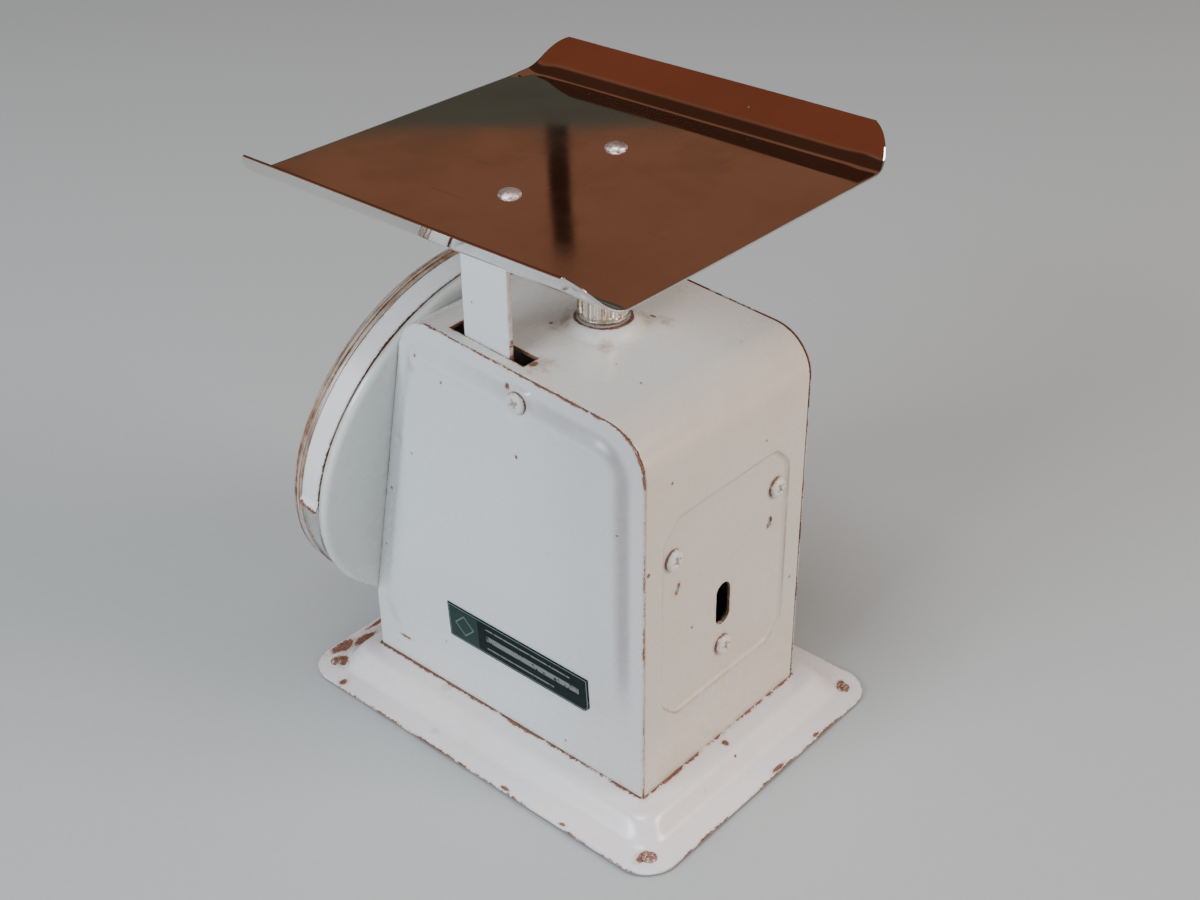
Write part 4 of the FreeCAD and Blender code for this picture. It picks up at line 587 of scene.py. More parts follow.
def build_base():
    """The pressed base, with its edge rolled, its slope crowned and a dimple round each foot rivet."""
    inwards = [0.9, 1.6, 2.4, 3.4, 4.6, 6.0, 7.2, 7.8, 8.6, 9.4, 10.2, 11.0, 11.8, 12.6, 13.4, 14.2, 15.0,
               15.8, 16.6, 17.4, 18.4, 19.6, 21.0, 22.6, 25.0, 30.0]
    rim = [(0.35, 1.2), (0.0, 1.45), (0.0, 1.85), (0.12, 2.08), (0.4, FLANGE_TOP)]
    under = [(d, max(1.2, float(base_height(d - 0.7)) - SHEET))
             for d in (30.0, 22.0, 18.4, 17.2, 16.2, 15.0, 13.8, 12.6, 11.4, 10.2, 9.0, 7.5, 4.0, 1.0)]
    rings = under + rim + [(d, float(base_height(d))) for d in inwards]
    points, faces = skin([base_loop(d, z) for d, z in rings], caps=(True, True))
    edge = -rounded_rectangle_distance(points, BASE_X, BASE_Y, BASE_CORNER)
    middle = np.array([0, (CASE_FRONT + CASE_BACK) / 2, 0])
    joint = rounded_rectangle_distance(points - middle, COVER_X, (CASE_BACK - CASE_FRONT) / 2, 0.5)
    for x, y in FEET:
        away = np.hypot(points[:, 0] - x, points[:, 1] - y)
        points[:, 2] -= 0.4 * np.exp(-(away / 3.6) ** 2) * (points[:, 2] > 2.0)
    tint, warm = (0.80, 0.775, 0.785), (0.79, 0.73, 0.715)
    material = enamel("base_enamel_old", tint, warm, base_rust, speckle=0.03)
    piece("base_tray", (points, faces), material, "stand", ["base_plate"],
          marks={"edge_mm": edge, "joint_mm": np.maximum(joint, 0)})


def rivet_paint():
    def everywhere(paint):
        return (), paint.ramp(paint.noise(700.0, 4.0, 0.7), 0.40, 0.50), 1.0
    return enamel("rusted_rivet", (0.72, 0.66, 0.64), (0.60, 0.50, 0.46), everywhere, gloss=0.5)


def build_foot_rivets():
    profile = soften([(0.05, 3.05, 0), (1.0, 3.05, 1.2), (2.4, 2.75, 0.6), (2.7, 1.95, 0.1), (1.5, 1.95, 0.1),
                      (1.5, 0.35, 0.1), (0.05, 0.35, 0)])
    parts = [skin([loop + np.array([x, y, 0]) for loop in lathe(profile, 40)], caps=(True, True))
             for x, y in FEET]
    piece("foot_rivet_heads", joined(*parts), rivet_paint(), "stand", ["foot_rivets"])


# ---------------------------------------------------------------- case wrap

def case_line():
    """The case's side outline as a fine open line of (y, z), from the bottom front over the top."""
    corners = case_corners()
    places = [Vector(corners[0][:2])]
    for i in (1, 2, 3):
        places += corner_arc(corners[i - 1][:2], corners[i][:2], corners[i + 1][:2], corners[i][2], 40)
    places.append(Vector(corners[4][:2]))
    line = [places[0]]
    for a, b in zip(places, places[1:]):
        steps = max(1, math.ceil((b - a).length / 0.5))
        line += [a.lerp(b, k / steps) for k in range(1, steps + 1)]
    line = np.array([tuple(p) for p in line])
    along = np.concatenate([[0], np.cumsum(np.hypot(*np.diff(line, axis=0).T))])
    return line, along


def recess_distance(x, z):
    """Signed distance to the outline of the sunk back panel, negative inside."""
    half_z, middle = (RECESS_HIGH - RECESS_LOW) / 2, (RECESS_HIGH + RECESS_LOW) / 2
    a, b = np.abs(x) - RECESS_X, np.abs(z - middle) - half_z
    corner = (np.abs(x) + np.abs(z - middle) - (RECESS_X + half_z - RECESS_CUT)) / math.sqrt(2)
    return -soft_min([-a, -b, -corner], 0.7)


def build_case_wrap():
    """The front, top and back sheet: a grid along the case's side line, finer where there is more to show."""
    line, along = case_line()
    top = (line[:, 1] > 140) & (np.abs(line[:, 0]) < 40)
    back = (line[:, 0] > CASE_BACK - 0.01) & (line[:, 1] < 140)

    def at_top(y):
        return float(np.interp(y, line[top, 0], along[top]))

    def at_back(z):
        return float(np.interp(-z, -line[back, 1], along[back]))

    length = along[-1]
    stations = spread(
        (0, length, 2.4), (0, 3, 0.5), (length - 3, length, 0.5), (at_top(-4.5), at_top(25.5), 0.8),
        (at_top(SLOT_FRONT), at_top(SLOT_BACK), 2.0), (at_top(-26), at_top(-20), 0.6),
        (at_back(RECESS_HIGH + 2), at_back(RECESS_HIGH - 11), 0.6),
        (at_back(RECESS_LOW + 11), at_back(RECESS_LOW - 2), 0.6),
        (at_back(ACCESS_Z + 9.5), at_back(ACCESS_Z - 9.5), 0.5),
        (at_back(SLIT_Z + 2.4), at_back(SLIT_Z - 2.4), 0.8),
        (at_top(55), at_back(132), 0.9), (at_top(-45), at_top(-52), 0.9))
    sides = [(SLOT_IN, SLOT_OUT, 1.0), (26.0, 37.0, 0.6), (43.0, WRAP_X, 0.25),
             (SLIT_X - SLIT_HALF_X, SLIT_X + SLIT_HALF_X, 0.4)]
    across = spread((-WRAP_X, WRAP_X, 2.4), (-15, 15, 0.8), (-4.4, 4.4, 0.5),
                    *[(a, b, s) for a, b, s in sides], *[(-b, -a, s) for a, b, s in sides])
    y_line, z_line = np.interp(stations, along, line[:, 0]), np.interp(stations, along, line[:, 1])
    nearby = 0.4
    ty = np.interp(stations + nearby, along, line[:, 0]) - np.interp(stations - nearby, along, line[:, 0])
    tz = np.interp(stations + nearby, along, line[:, 1]) - np.interp(stations - nearby, along, line[:, 1])
    norm = np.hypot(ty, tz)
    normal_y, normal_z = -tz / norm, ty / norm
    x, y0 = np.meshgrid(across, y_line)
    z0 = np.repeat(z_line[:, None], len(across), 1)
    on_back = (y0 > CASE_BACK - 0.5) & (z0 < BACK_UP_TO)
    on_top = (z0 > TOP_FROM) & (np.abs(y0) < TOP_REACH)
    recess = recess_distance(x, z0)
    sunk = -RECESS_DEPTH * smooth(-0.1, 1.7, -recess) * on_back
    ring = np.hypot(x, y0 - KNOB_Y)
    level = top_height(y0)
    collar = (COLLAR_TOP - level) * smooth(15.4, 10.4, ring) * on_top
    rolled = -0.32 * (1 - np.sqrt(1 - smooth(WRAP_X - 0.55, WRAP_X, np.abs(x)) ** 2 * 0.999))
    waves = 0.05 * np.sin(x * 0.09 + 1.0) * np.sin((y0 + z0) * 0.05)
    lift = sunk + rolled + waves
    lance = on_back & (np.abs(np.abs(x) - SLIT_X - 1.7) < 1.2) & (np.abs(z0 - SLIT_Z) < 2.4)
    lift = lift + 0.25 * lance
    y = y0 + normal_y[:, None] * lift
    z = z0 + normal_z[:, None] * lift + collar
    points = np.stack([x, y, z], 2).reshape(-1, 3)
    at_x, at_y, at_z = ((line[:-1] + line[1:]) / 2 for line in (across, y_line, z_line))
    faces = []
    for face in sheet_faces(*x.shape):
        row, column = divmod(face[0], len(across))
        if not in_opening(at_x[column], at_y[row], at_z[row]):
            faces.append(face)
    snap_access(points, on_back.reshape(-1))
    edge, gain = wrap_edges(points, *(values.reshape(-1) for values in (ring, recess, on_top, on_back)))
    used = sorted({i for face in faces for i in face})
    index = {old: new for new, old in enumerate(used)}
    mesh = points[used], [tuple(index[i] for i in face) for face in faces]
    tint, warm = (0.785, 0.775, 0.75), (0.79, 0.755, 0.71)
    material = enamel("case_enamel_old", tint, warm, wrap_rust, speckle=0.008)
    piece("case_wrap", mesh, material, "stand", ["case_shell"], thickness=1.0,
          marks={"edge_mm": edge[used], "gain": gain[used],
                 "recess_mm": np.where(on_back, recess, 99.0).reshape(-1)[used]}, inside=CASE_MIDDLE)
    build_case_flanges(material)


def in_opening(x, y, z):
    """Whether a place on the wrap is in an arm slot, the knob's hole, the access slot or a lance's slit."""
    if z > TOP_FROM and abs(y) < TOP_REACH:
        in_slot = SLOT_IN < abs(x) < SLOT_OUT and SLOT_FRONT < y < SLOT_BACK
        return in_slot or math.hypot(x, y - KNOB_Y) < KNOB_HOLE
    if y > CASE_BACK - 0.5:
        in_access = math.hypot(x, max(abs(z - ACCESS_Z) - ACCESS_STRAIGHT, 0)) < ACCESS_W / 2
        return in_access or (abs(abs(x) - SLIT_X) < SLIT_HALF_X and abs(z - SLIT_Z) < SLIT_HALF_Z)
    return False


def snap_access(points, on_back):
    """Moves the grid points beside the access slot on to its round-ended outline."""
    x, z = points[:, 0], points[:, 2] - ACCESS_Z
    beyond = np.maximum(np.abs(z) - ACCESS_STRAIGHT, 0) * np.sign(z)
    radius = np.hypot(x, beyond)
    near = on_back & (np.abs(radius - ACCESS_W / 2) < 0.34) & (radius > 0.1)
    factor = np.where(near, ACCESS_W / 2 / np.maximum(radius, 0.1), 1.0)
    points[:, 0] = x * factor
    points[:, 2] = np.where(near, ACCESS_Z + z - beyond + beyond * factor, points[:, 2])


def wrap_edges(points, ring, recess, on_top, on_back):
    """Distance in millimetres to the nearest edge that rusts, and how strongly that edge does."""
    x, y, z = points.T
    far = np.full(len(points), 99.0)
    slot_x = np.abs(np.abs(x) - (SLOT_IN + SLOT_OUT) / 2) - (SLOT_OUT - SLOT_IN) / 2
    slot_y = np.abs(y - (SLOT_FRONT + SLOT_BACK) / 2) - (SLOT_BACK - SLOT_FRONT) / 2
    slot = np.hypot(np.maximum(slot_x, 0), np.maximum(slot_y, 0))
    access = np.hypot(x, np.maximum(np.abs(z - ACCESS_Z) - ACCESS_STRAIGHT, 0)) - ACCESS_W / 2
    seam_gain = np.where(z > 145, 1.02, 0.92) - 0.10 * (y < -50)
    edges = [
        (WRAP_X - np.abs(x), seam_gain),
        (np.where(on_top, slot, far), 1.22),
        (np.where(on_top, np.abs(ring - 9.8) - 0.4, far), 1.12),
        (np.where(on_back, np.abs(recess + 0.2) + 0.2, far), 0.80),
        (np.where(on_back, np.maximum(access, 0), far), 1.00),
        (z - DECK, 0.92),
    ]
    distances = np.array([distance for distance, _ in edges])
    gains = np.array([np.broadcast_to(gain, len(points)) for _, gain in edges])
    return distances.min(0), gains[distances.argmin(0), np.arange(len(points))]


def wrap_rust(paint):
    """Rust along every edge, painted shade in the recess's outline, smears by the slots, and a painted warm
    shade over the back.
    """
    lines = edge_rust(paint, paint.mark("edge_mm"), 0.42, paint.mark("gain"), 210.0)
    slits = [(side * SLIT_X - shift, 66.0, SLIT_Z + 2.2 * shift, (1.0, 3.0, 1.35))
             for side in (-1, 1) for shift in (-0.5, 0.5)]
    patches, stains = paint.spots([
        (42.5, 66.4, 106.0, 0.8), (36.6, 12.4, 162.2, (2.2, 1.3, 2.0)), (-15.5, 19.5, 161.0, (0.7, 1.4, 2.0)),
        (13.2, -1.5, 163.2, (0.8, 0.6, 2.0)), (17.0, 31.0, 160.6, (0.35, 0.4, 2.0)),
        (20.0, 44.0, 159.6, 0.5), (-24.0, 51.0, 158.6, 0.6), (4.0, 55.0, 157.4, 0.5),
        (31.0, 66.4, 136.0, 0.5), (-39.0, 66.4, 60.0, 0.6), (-20.0, 66.4, 128.0, 0.5), *slits,
    ])
    smears = paint.spots([
        (35.5, 14.5, 162.0, (4.2, 3.2, 4.0)), (11.0, 2.0, 163.0, (3.4, 2.4, 4.0)),
        (-11.5, 17.0, 162.0, (2.6, 4.0, 4.0)), (-16.0, 24.0, 161.0, (2.0, 3.0, 4.0)),
        (12.0, 22.0, 162.0, (2.2, 2.0, 4.0)), (0.0, KNOB_Y, 165.0, 6.0),
    ], 0.5)[1]
    # A thin painted shade line round the sunk back panel's step, darker on some stretches than others.
    recess = paint.math("ABSOLUTE", paint.plus(paint.mark("recess_mm"), 0.25))
    line = paint.times(paint.ramp(recess, 0.55, 0.15),
                      paint.ramp(paint.noise(70.0, 3.0, 0.6), 0.30, 0.60, 0.15, 0.75))
    # Painted warm shade: the back panel and the rear of the top darken and turn yellow-brown towards +Y.
    aged = paint.ramp(paint.axes()[1], 0.045, 0.0664, 0.0, 0.42)
    aged = paint.times(aged, paint.ramp(paint.noise(30.0, 3.0, 0.5), 0.2, 0.7, 0.75, 1.0))
    return (lines,), patches, paint.greatest(stains, smears), (line, PAINTED_SHADE), (aged, (0.56, 0.44, 0.30))


def build_case_flanges(material):
    """The wrap's turned-in feet and the lugs that take the cover screws, out of sight inside."""
    parts = [slab((-38, -67.7, 10.0), (38, -56, 11.0)), slab((-38, 53.8, 10.0), (38, 65.3, 11.0)),
             slab((42.2, 8, 147), (43.6, 20, 160.4)), slab((-43.6, 8, 147), (-42.2, 20, 160.4))]
    piece("case_flanges", joined(*parts), material, "stand", bevel=EDGE_BEVEL)


# ---------------------------------------------------------------- side covers

CREASE_START, CREASE_SLOPE, TAPER_LENGTH = (-59.8, 19.7), 0.1506, 46.0


def field_corners():
    """The foot of the raised field's slope, as (y, z, radius)."""
    front, back = inset(case_corners(), 3.0), inset(case_corners(), 4.6)
    down = 1.6 / math.cos(TILT - FALL)
    last = CREASE_START[1] + CREASE_SLOPE * (back[3][0] - CREASE_START[0])
    return [
        (CREASE_START[0], CREASE_START[1], 3.0),
        (front[1][0], front[1][1], 8.0),
        (front[2][0] - down * math.sin(TILT), front[2][1] - down * math.cos(TILT), 12.0),
        (back[3][0], back[3][1], 15.5),
        (back[3][0], last, 6.0),
    ]


def line_distance(y, z, a, b):
    """Distance to the right of the line from a to b."""
    along = Vector((b[0] - a[0], b[1] - a[1])).normalized()
    return (y - a[0]) * along.y - (z - a[1]) * along.x


def field_slope(y, z, depth, field):
    """The share of the raised field's slope that is climbed: the bottom crease has no slope of its own."""
    above = line_distance(y, z, field[4], field[0])
    beside = np.minimum(line_distance(y, z, field[0], field[1]), line_distance(y, z, field[1], field[2]))
    beside = np.minimum(beside, line_distance(y, z, field[3], field[4]))
    low = smooth(16.0, 8.0, above)
    along = depth * (1 - low) + beside * low
    return smooth(0, 7.0, along) + 0.07 * np.exp(-((along - 7.6) / 1.2) ** 2)


def field_taper(y, z):
    """The field's height as a share of its full height: it runs out to nothing at the bottom crease."""
    above = (z - CREASE_START[1] - CREASE_SLOPE * (y - CREASE_START[0])) / math.hypot(1, CREASE_SLOPE)
    share = np.clip(above / TAPER_LENGTH, 0, 1)
    return 1 - (1 - share) ** 1.6


def cover_rust(paint):
    """Rust along the edge, a few spots, painted shade on the field's slope, and painted shade darkening
    towards the back.
    """
    lines = edge_rust(paint, paint.mark("edge_mm"), 0.5, paint.mark("gain"), 200.0)
    x = COVER_X + 1
    patches, stains = paint.spots([
        (x, 13.8, 132.5, (4, 0.8, 0.9)), (x, -33.0, 154.0, (4, 0.8, 0.7)), (x, -20.6, 148.0, (4, 0.6, 0.6)),
        (x, -54.4, 90.0, (4, 0.6, 0.7)), (x, -54.0, 20.6, (4, 3.4, 0.8)), (x, -38.5, 112.7, (4, 0.5, 0.5)),
        (x, -60.5, 62.0, (4, 0.6, 0.5)), (x, 8.6, 156.6, (4, 1.2, 0.9)), (x, -52.0, 150.0, (4, 1.3, 0.6)),
        (x, 30.0, 16.0, (4, 0.5, 0.4)), (x, 57.0, 120.0, (4, 0.5, 0.4)), (x, -30.0, 31.0, (4, 0.4, 0.4)),
        (-x, -20.0, 60.0, (4, 0.7, 0.8)), (-x, 30.0, 140.0, (4, 0.6, 0.6)), (-x, 46.0, 24.0, (4, 1.6, 0.6)),
        (-x, -44.0, 118.0, (4, 0.5, 0.5)), (-x, 8.0, 90.0, (4, 0.4, 0.5)),
    ])
    # Painted shade: the field's slope darkens in grey-brown, more towards the back.
    behind = paint.ramp(paint.axes()[1], -0.040, 0.055, 0.0, 0.62)
    painted_slope_shade = paint.times(paint.times(paint.mark("slope"), behind),
                      paint.ramp(paint.noise(120.0, 3.0, 0.6), 0.2, 0.7, 0.8, 1.0))
    # Painted shade: the whole cover darkens towards its back edge.
    painted_back_shade = paint.ramp(paint.axes()[1], 0.005, 0.050, 0.0, 0.30)
    painted_back_shade = paint.times(painted_back_shade, paint.ramp(paint.noise(25.0, 3.0, 0.5), 0.2, 0.7, 0.8, 1.0))
    return (lines,), patches, stains, (painted_slope_shade, PAINTED_SHADE), (painted_back_shade, (0.46, 0.38, 0.35))


def build_side_covers():
    """Two covers: rings from the outline in to the raised field's foot, up its slope and over its flat."""
    # The covers' enamel is tinted darker and bluer than the case's: painted shade and painted cool light on
    # the sides.
    tint, warm = (0.70, 0.735, 0.755), (0.72, 0.725, 0.725)
    material = enamel("cover_enamel_old", tint, warm, cover_rust, speckle=0.004)
    outline, field = case_corners(), field_corners()
    samples = dict(arc_steps=14, side_steps=56)
    rim = [(0.0, -0.75), (0.0, -0.45), (0.12, -0.16), (0.4, 0.0), (0.8, 0.0), (1.6, 0.0), (2.4, 0.0)]
    rises = [0.0, 0.6, 1.2, 1.9, 2.6, 3.3, 4.0, 4.7, 5.4, 6.1, 6.7, 7.2, 7.7, 8.2, 8.8, 9.6]
    shrinks = [0.975, 0.94, 0.88, 0.81, 0.74, 0.67, 0.60, 0.53, 0.46, 0.38, 0.30, 0.22, 0.14, 0.07, 0.02]
    centre = np.array([2.0, 86.0])
    for side, label in ((1, "side_cover_right"), (-1, "side_cover_left")):
        loops, lifts, slopes = [], [], []
        for d, lift in rim:
            loops.append(rounded_loop(inset(outline, d), **samples))
            lifts.append(np.full(len(loops[-1]), lift))
        foot = rounded_loop(field, **samples)
        for share in (0.35, 0.7):
            loops.append(loops[len(rim) - 1] * (1 - share) + foot * share)
            lifts.append(np.zeros(len(foot)))
        slopes += [np.zeros(len(foot))] * len(loops)
        for d in rises:
            loops.append(rounded_loop(inset(field, d), **samples))
            y, z = loops[-1].T
            rise = FIELD_RISE * field_slope(y, z, d, field) * field_taper(y, z)
            seat = smooth(7.5, 3.6, np.hypot(y - COVER_SCREW[0], z - COVER_SCREW[1]))
            lifts.append(rise + (SCREW_SEAT - rise) * seat)
            # The share of the slope band, which the covers' material darkens as painted shade.
            band = smooth(0.0, 2.6, d) * smooth(7.0, 3.6, d)
            slopes.append(np.full(len(y), band) * smooth(0.15, 0.95, field_taper(y, z)))
        last = loops[-1]
        for shrink in shrinks:
            loops.append(centre + (last - centre) * shrink)
            crown = FIELD_RISE + 0.25 * (1 - shrink)
            y, z = loops[-1].T
            lifts.append(crown * field_slope(y, z, 12.0, field) * field_taper(y, z))
            slopes.append(np.zeros(len(y)))
        flat = np.concatenate(loops)
        lift = np.concatenate(lifts)
        points = np.column_stack([side * (COVER_X + lift), flat])
        _, faces = skin(loops, caps=(False, True))
        gain = np.where(flat[:, 1] > 140, 1.10, 0.92)
        gain = np.where(flat[:, 1] < 14, 0.98, gain) - 0.12 * (flat[:, 0] < -58)
        marks = {"edge_mm": outline_distance(flat), "gain": gain, "slope": np.concatenate(slopes)}
        piece(label + "_panel", (points, faces), material, "stand", [label], thickness=0.9,
              marks=marks, inside=CASE_MIDDLE, sharp=28.0)
        foot_low, foot_high = sorted((side * 34.1, side * 44.2))
        foot = slab((foot_low, -20, 10.0), (foot_high, 20, 11.0))
        piece(label + "_foot", foot, material, "stand", bevel=EDGE_BEVEL)


def outline_distance(flat):
    """Distance in from the case's side outline."""
    loop = rounded_loop(case_corners(), 24, 60)
    result = np.full(len(flat), 99.0)
    for a, b in zip(loop, np.roll(loop, -1, axis=0)):
        along = b - a
        share = np.clip(((flat - a) @ along) / max(along @ along, 1e-9), 0, 1)
        result = np.minimum(result, np.hypot(*(flat - a - share[:, None] * along).T))
    return result


# ---------------------------------------------------------------- label

LABEL_Y, LABEL_Z, LABEL_HALF_Y, LABEL_HALF_Z, LABEL_TURN = 8.4, 44.7, 34.25, 8.1, math.radians(-1.2)


def label_paint():
    """Dark printed metal: a pale border, a lighter field with a plain diamond, and three worn bars."""
    paint = Paint("label_print")
    a, b = paint.mark("label_a"), paint.mark("label_b")
    absolute_a, absolute_b = paint.math("ABSOLUTE", a), paint.math("ABSOLUTE", b)
    edge = paint.math("MINIMUM", paint.minus(LABEL_HALF_Y, absolute_a),
                      paint.minus(LABEL_HALF_Z, absolute_b))
    border = paint.times(paint.ramp(edge, 0.45, 0.55), paint.ramp(edge, 0.95, 0.85))
    square = paint.times(paint.math("LESS_THAN", a, -LABEL_HALF_Y + 15.2),
                        paint.math("GREATER_THAN", edge, 1.3))
    centre_a = paint.plus(a, LABEL_HALF_Y - 8.2)
    diamond = paint.plus(paint.math("ABSOLUTE", centre_a), absolute_b)
    ring = paint.times(paint.ramp(diamond, 4.1, 4.3), paint.ramp(diamond, 5.0, 4.8))
    rules = []
    for high, level, half in ((26.0, 4.6, 0.35), (30.0, 0.2, 1.3), (18.0, -4.6, 0.35)):
        inside = paint.times(paint.ramp(a, -15.0, -14.7), paint.ramp(a, high, high - 0.3))
        offset = paint.math("ABSOLUTE", paint.minus(b, level))
        rules.append(paint.times(inside, paint.ramp(offset, half + 0.12, half - 0.12)))
    broken = paint.ramp(paint.noise(650.0, 3.0, 0.7), 0.34, 0.46)
    rule = paint.times(paint.times(paint.greatest(*rules), broken), 0.55)
    dark, pale, field = (0.006, 0.012, 0.012), (0.13, 0.18, 0.165), (0.022, 0.042, 0.038)
    colour = paint.mix(square, dark, field)
    colour = paint.mix(ring, colour, pale)
    colour = paint.mix(rule, colour, (0.32, 0.36, 0.33))
    colour = paint.mix(border, colour, pale)
    worn = paint.ramp(paint.noise(1100.0, 4.0, 0.7), 0.62, 0.70)
    worn = paint.times(worn, paint.ramp(edge, 1.6, 0.0))
    colour = paint.mix(worn, colour, (0.45, 0.46, 0.42))
    scuff = paint.noise(500.0, 4.0, 0.6, place=paint.stretched(1.0, 0.2, 1.0))
    paint.set(Base_Color=colour, Roughness=paint.ramp(scuff, 0.3, 0.7, 0.28, 0.5),
              Normal=paint.bump(paint.noise(300.0, 2.0, 0.5), 0.04, 0.4), Specular_IOR_Level=0.06)
    return paint.material


def build_label():
    """The label on the right cover, with its top back corner bent out."""
    across = spread((-LABEL_HALF_Y, LABEL_HALF_Y, 1.4), (LABEL_HALF_Y - 4, LABEL_HALF_Y, 0.4))
    up = spread((-LABEL_HALF_Z, LABEL_HALF_Z, 1.0), (-LABEL_HALF_Z, -LABEL_HALF_Z + 4, 0.4))
    a, b = np.meshgrid(across, up)
    chip = 1.5 * smooth(LABEL_HALF_Y - 3.2, LABEL_HALF_Y, a) * smooth(-LABEL_HALF_Z + 3.0, -LABEL_HALF_Z, b)
    shift_a, shift_b = a - chip, b + 0.5 * chip
    y = LABEL_Y + shift_a * math.cos(LABEL_TURN) - shift_b * math.sin(LABEL_TURN)
    z = LABEL_Z + shift_a * math.sin(LABEL_TURN) + shift_b * math.cos(LABEL_TURN)
    x = COVER_X + (FIELD_RISE + 0.2) * field_taper(y, z) + 0.42
    x = x - 0.12 * smooth(LABEL_HALF_Y - 1.0, LABEL_HALF_Y, np.abs(a)) + 0.35 * chip / 1.5
    points = np.stack([x, y, z], 2).reshape(-1, 3)
    mesh = points, sheet_faces(*a.shape)
    piece("maker_label", mesh, label_paint(), "stand", ["label_plate"],
          thickness=0.3, marks={"label_a": a.reshape(-1), "label_b": b.reshape(-1)}, inside=CASE_MIDDLE)


# ---------------------------------------------------------------- screws and rivets

SCREW_R, SHANK_R = 4.0, 1.95


def screw_mesh(base, axis, radius, height, shank_radius, shank_length, turn):
    """A domed pan head with a cross recess, and its shank."""
    rings = [0.03] + list(np.linspace(0.25, radius * 0.62, 9)) + list(np.linspace(radius * 0.7, radius, 6))
    angles = np.linspace(0, 2 * math.pi, 64, endpoint=False)
    loops, deep = [], []
    for r in rings:
        x, y = r * np.cos(angles), r * np.sin(angles)
        dome = height * (1 - (r / radius) ** 2 * 0.34) - height * 0.3 * smooth(radius * 0.82, radius, r)
        ca, sa = math.cos(turn), math.sin(turn)
        u, v = np.abs(x * ca + y * sa), np.abs(y * ca - x * sa)
        arm, wide = radius * 0.56, radius * 0.13
        cross = np.maximum(smooth(arm, arm * 0.75, u) * smooth(wide * 1.5, wide * 0.7, v),
                           smooth(arm, arm * 0.75, v) * smooth(wide * 1.5, wide * 0.7, u))
        loops.append(np.column_stack([x, y, dome - 0.95 * cross]))
        deep.append(cross)
    edge = [(radius, height * 0.22), (radius, 0.0), (shank_radius, 0.0), (shank_radius, -shank_length)]
    loops += lathe(edge, 64)
    points, faces = skin(loops, caps=(True, True))
    deep.append(np.zeros(len(points) - len(angles) * len(deep)))
    return to_axis(points, base, axis), faces, np.concatenate(deep)


def screw_paint():
    """The case's enamel, rusted round the heads' rims and dirty in the recesses."""
    def dirt(paint):
        pits = paint.noise(900.0, 4.0, 0.7)
        ring = paint.mark("rim")
        depth = paint.minus(paint.times(pits, 1.9), paint.plus(ring, 0.72))
        grime = paint.ramp(paint.plus(paint.mark("deep"), paint.times(pits, 0.5)), 0.75, 1.15)
        return (depth,), paint.times(grime, 0.6), 0.0
    return enamel("screw_enamel", (0.74, 0.745, 0.74), (0.72, 0.69, 0.65), dirt, gloss=0.27, speckle=0.04)


def screw_set(name, node, screws, height, shank_length, material):
    """Pan-head screws at (place under the head, axis), each turned by chance."""
    parts, rims, recesses = [], [], []
    for base, axis in screws:
        turn = random.uniform(0, math.pi)
        *mesh, deep = screw_mesh(base, axis, SCREW_R, height, SHANK_R, shank_length, turn)
        away = (mesh[0] - np.array(base)) @ np.array(axis)
        out = np.linalg.norm(mesh[0] - np.array(base) - away[:, None] * np.array(axis), axis=1)
        rims.append(np.maximum(SCREW_R - out, 0) + np.maximum(away - 0.4, 0) * 0.3)
        recesses.append(deep)
        parts.append(mesh)
    piece(name, joined(*parts), material, "stand", [node], sharp=50.0,
          marks={"rim": np.concatenate(rims), "deep": np.concatenate(recesses)})


def build_screws():
    paint = screw_paint()
    on_covers = [((side * (COVER_X + SCREW_SEAT), *COVER_SCREW), (side, 0.0, 0.0)) for side in (-1.0, 1.0)]
    screw_set("cover_screw_heads", "cover_screws", on_covers, 2.2, 3.8 + SCREW_SEAT, paint)
    on_back = [((x, CASE_BACK - RECESS_DEPTH, z), (0.0, 1.0, 0.0)) for x, z in BACK_SCREWS]
    screw_set("back_screw_heads", "back_screws", on_back, 2.5, 4.2, paint)


def build_tray_rivets(material):
    """Two hammered domes on the tray, with their shanks and closed ends below."""
    parts = []
    for x in (-RIVET_X, RIVET_X):
        angles = np.linspace(0, 2 * math.pi, 72, endpoint=False)
        loops = []
        for share in (0.02, 0.15, 0.3, 0.45, 0.6, 0.72, 0.83, 0.91, 0.97, 1.0):
            r = 3.9 * share * (1 + 0.018 * np.sin(angles * 9 + x) * share)
            dome = 1.75 * math.sqrt(max(1 - share ** 2.3, 0.0)) + 0.05
            h = dome + 0.10 * np.sin(angles * 7 + x) * share * (1 - share)
            loops.append(np.column_stack([r * np.cos(angles), r * np.sin(angles), h]))
        loops += lathe([(3.9, -0.02), (2.0, -0.02), (2.0, -2.8), (3.2, -2.8), (3.2, -3.7), (2.7, -4.0)], 72)
        points, faces = skin(loops, caps=(True, True))
        parts.append((points + np.array([x, RIVET_Y, TRAY_TOP]), faces))
    piece("tray_rivet_domes", joined(*parts), material, "carrier", ["tray_rivets"],
          sharp=45)


# ---------------------------------------------------------------- tray and its bracket

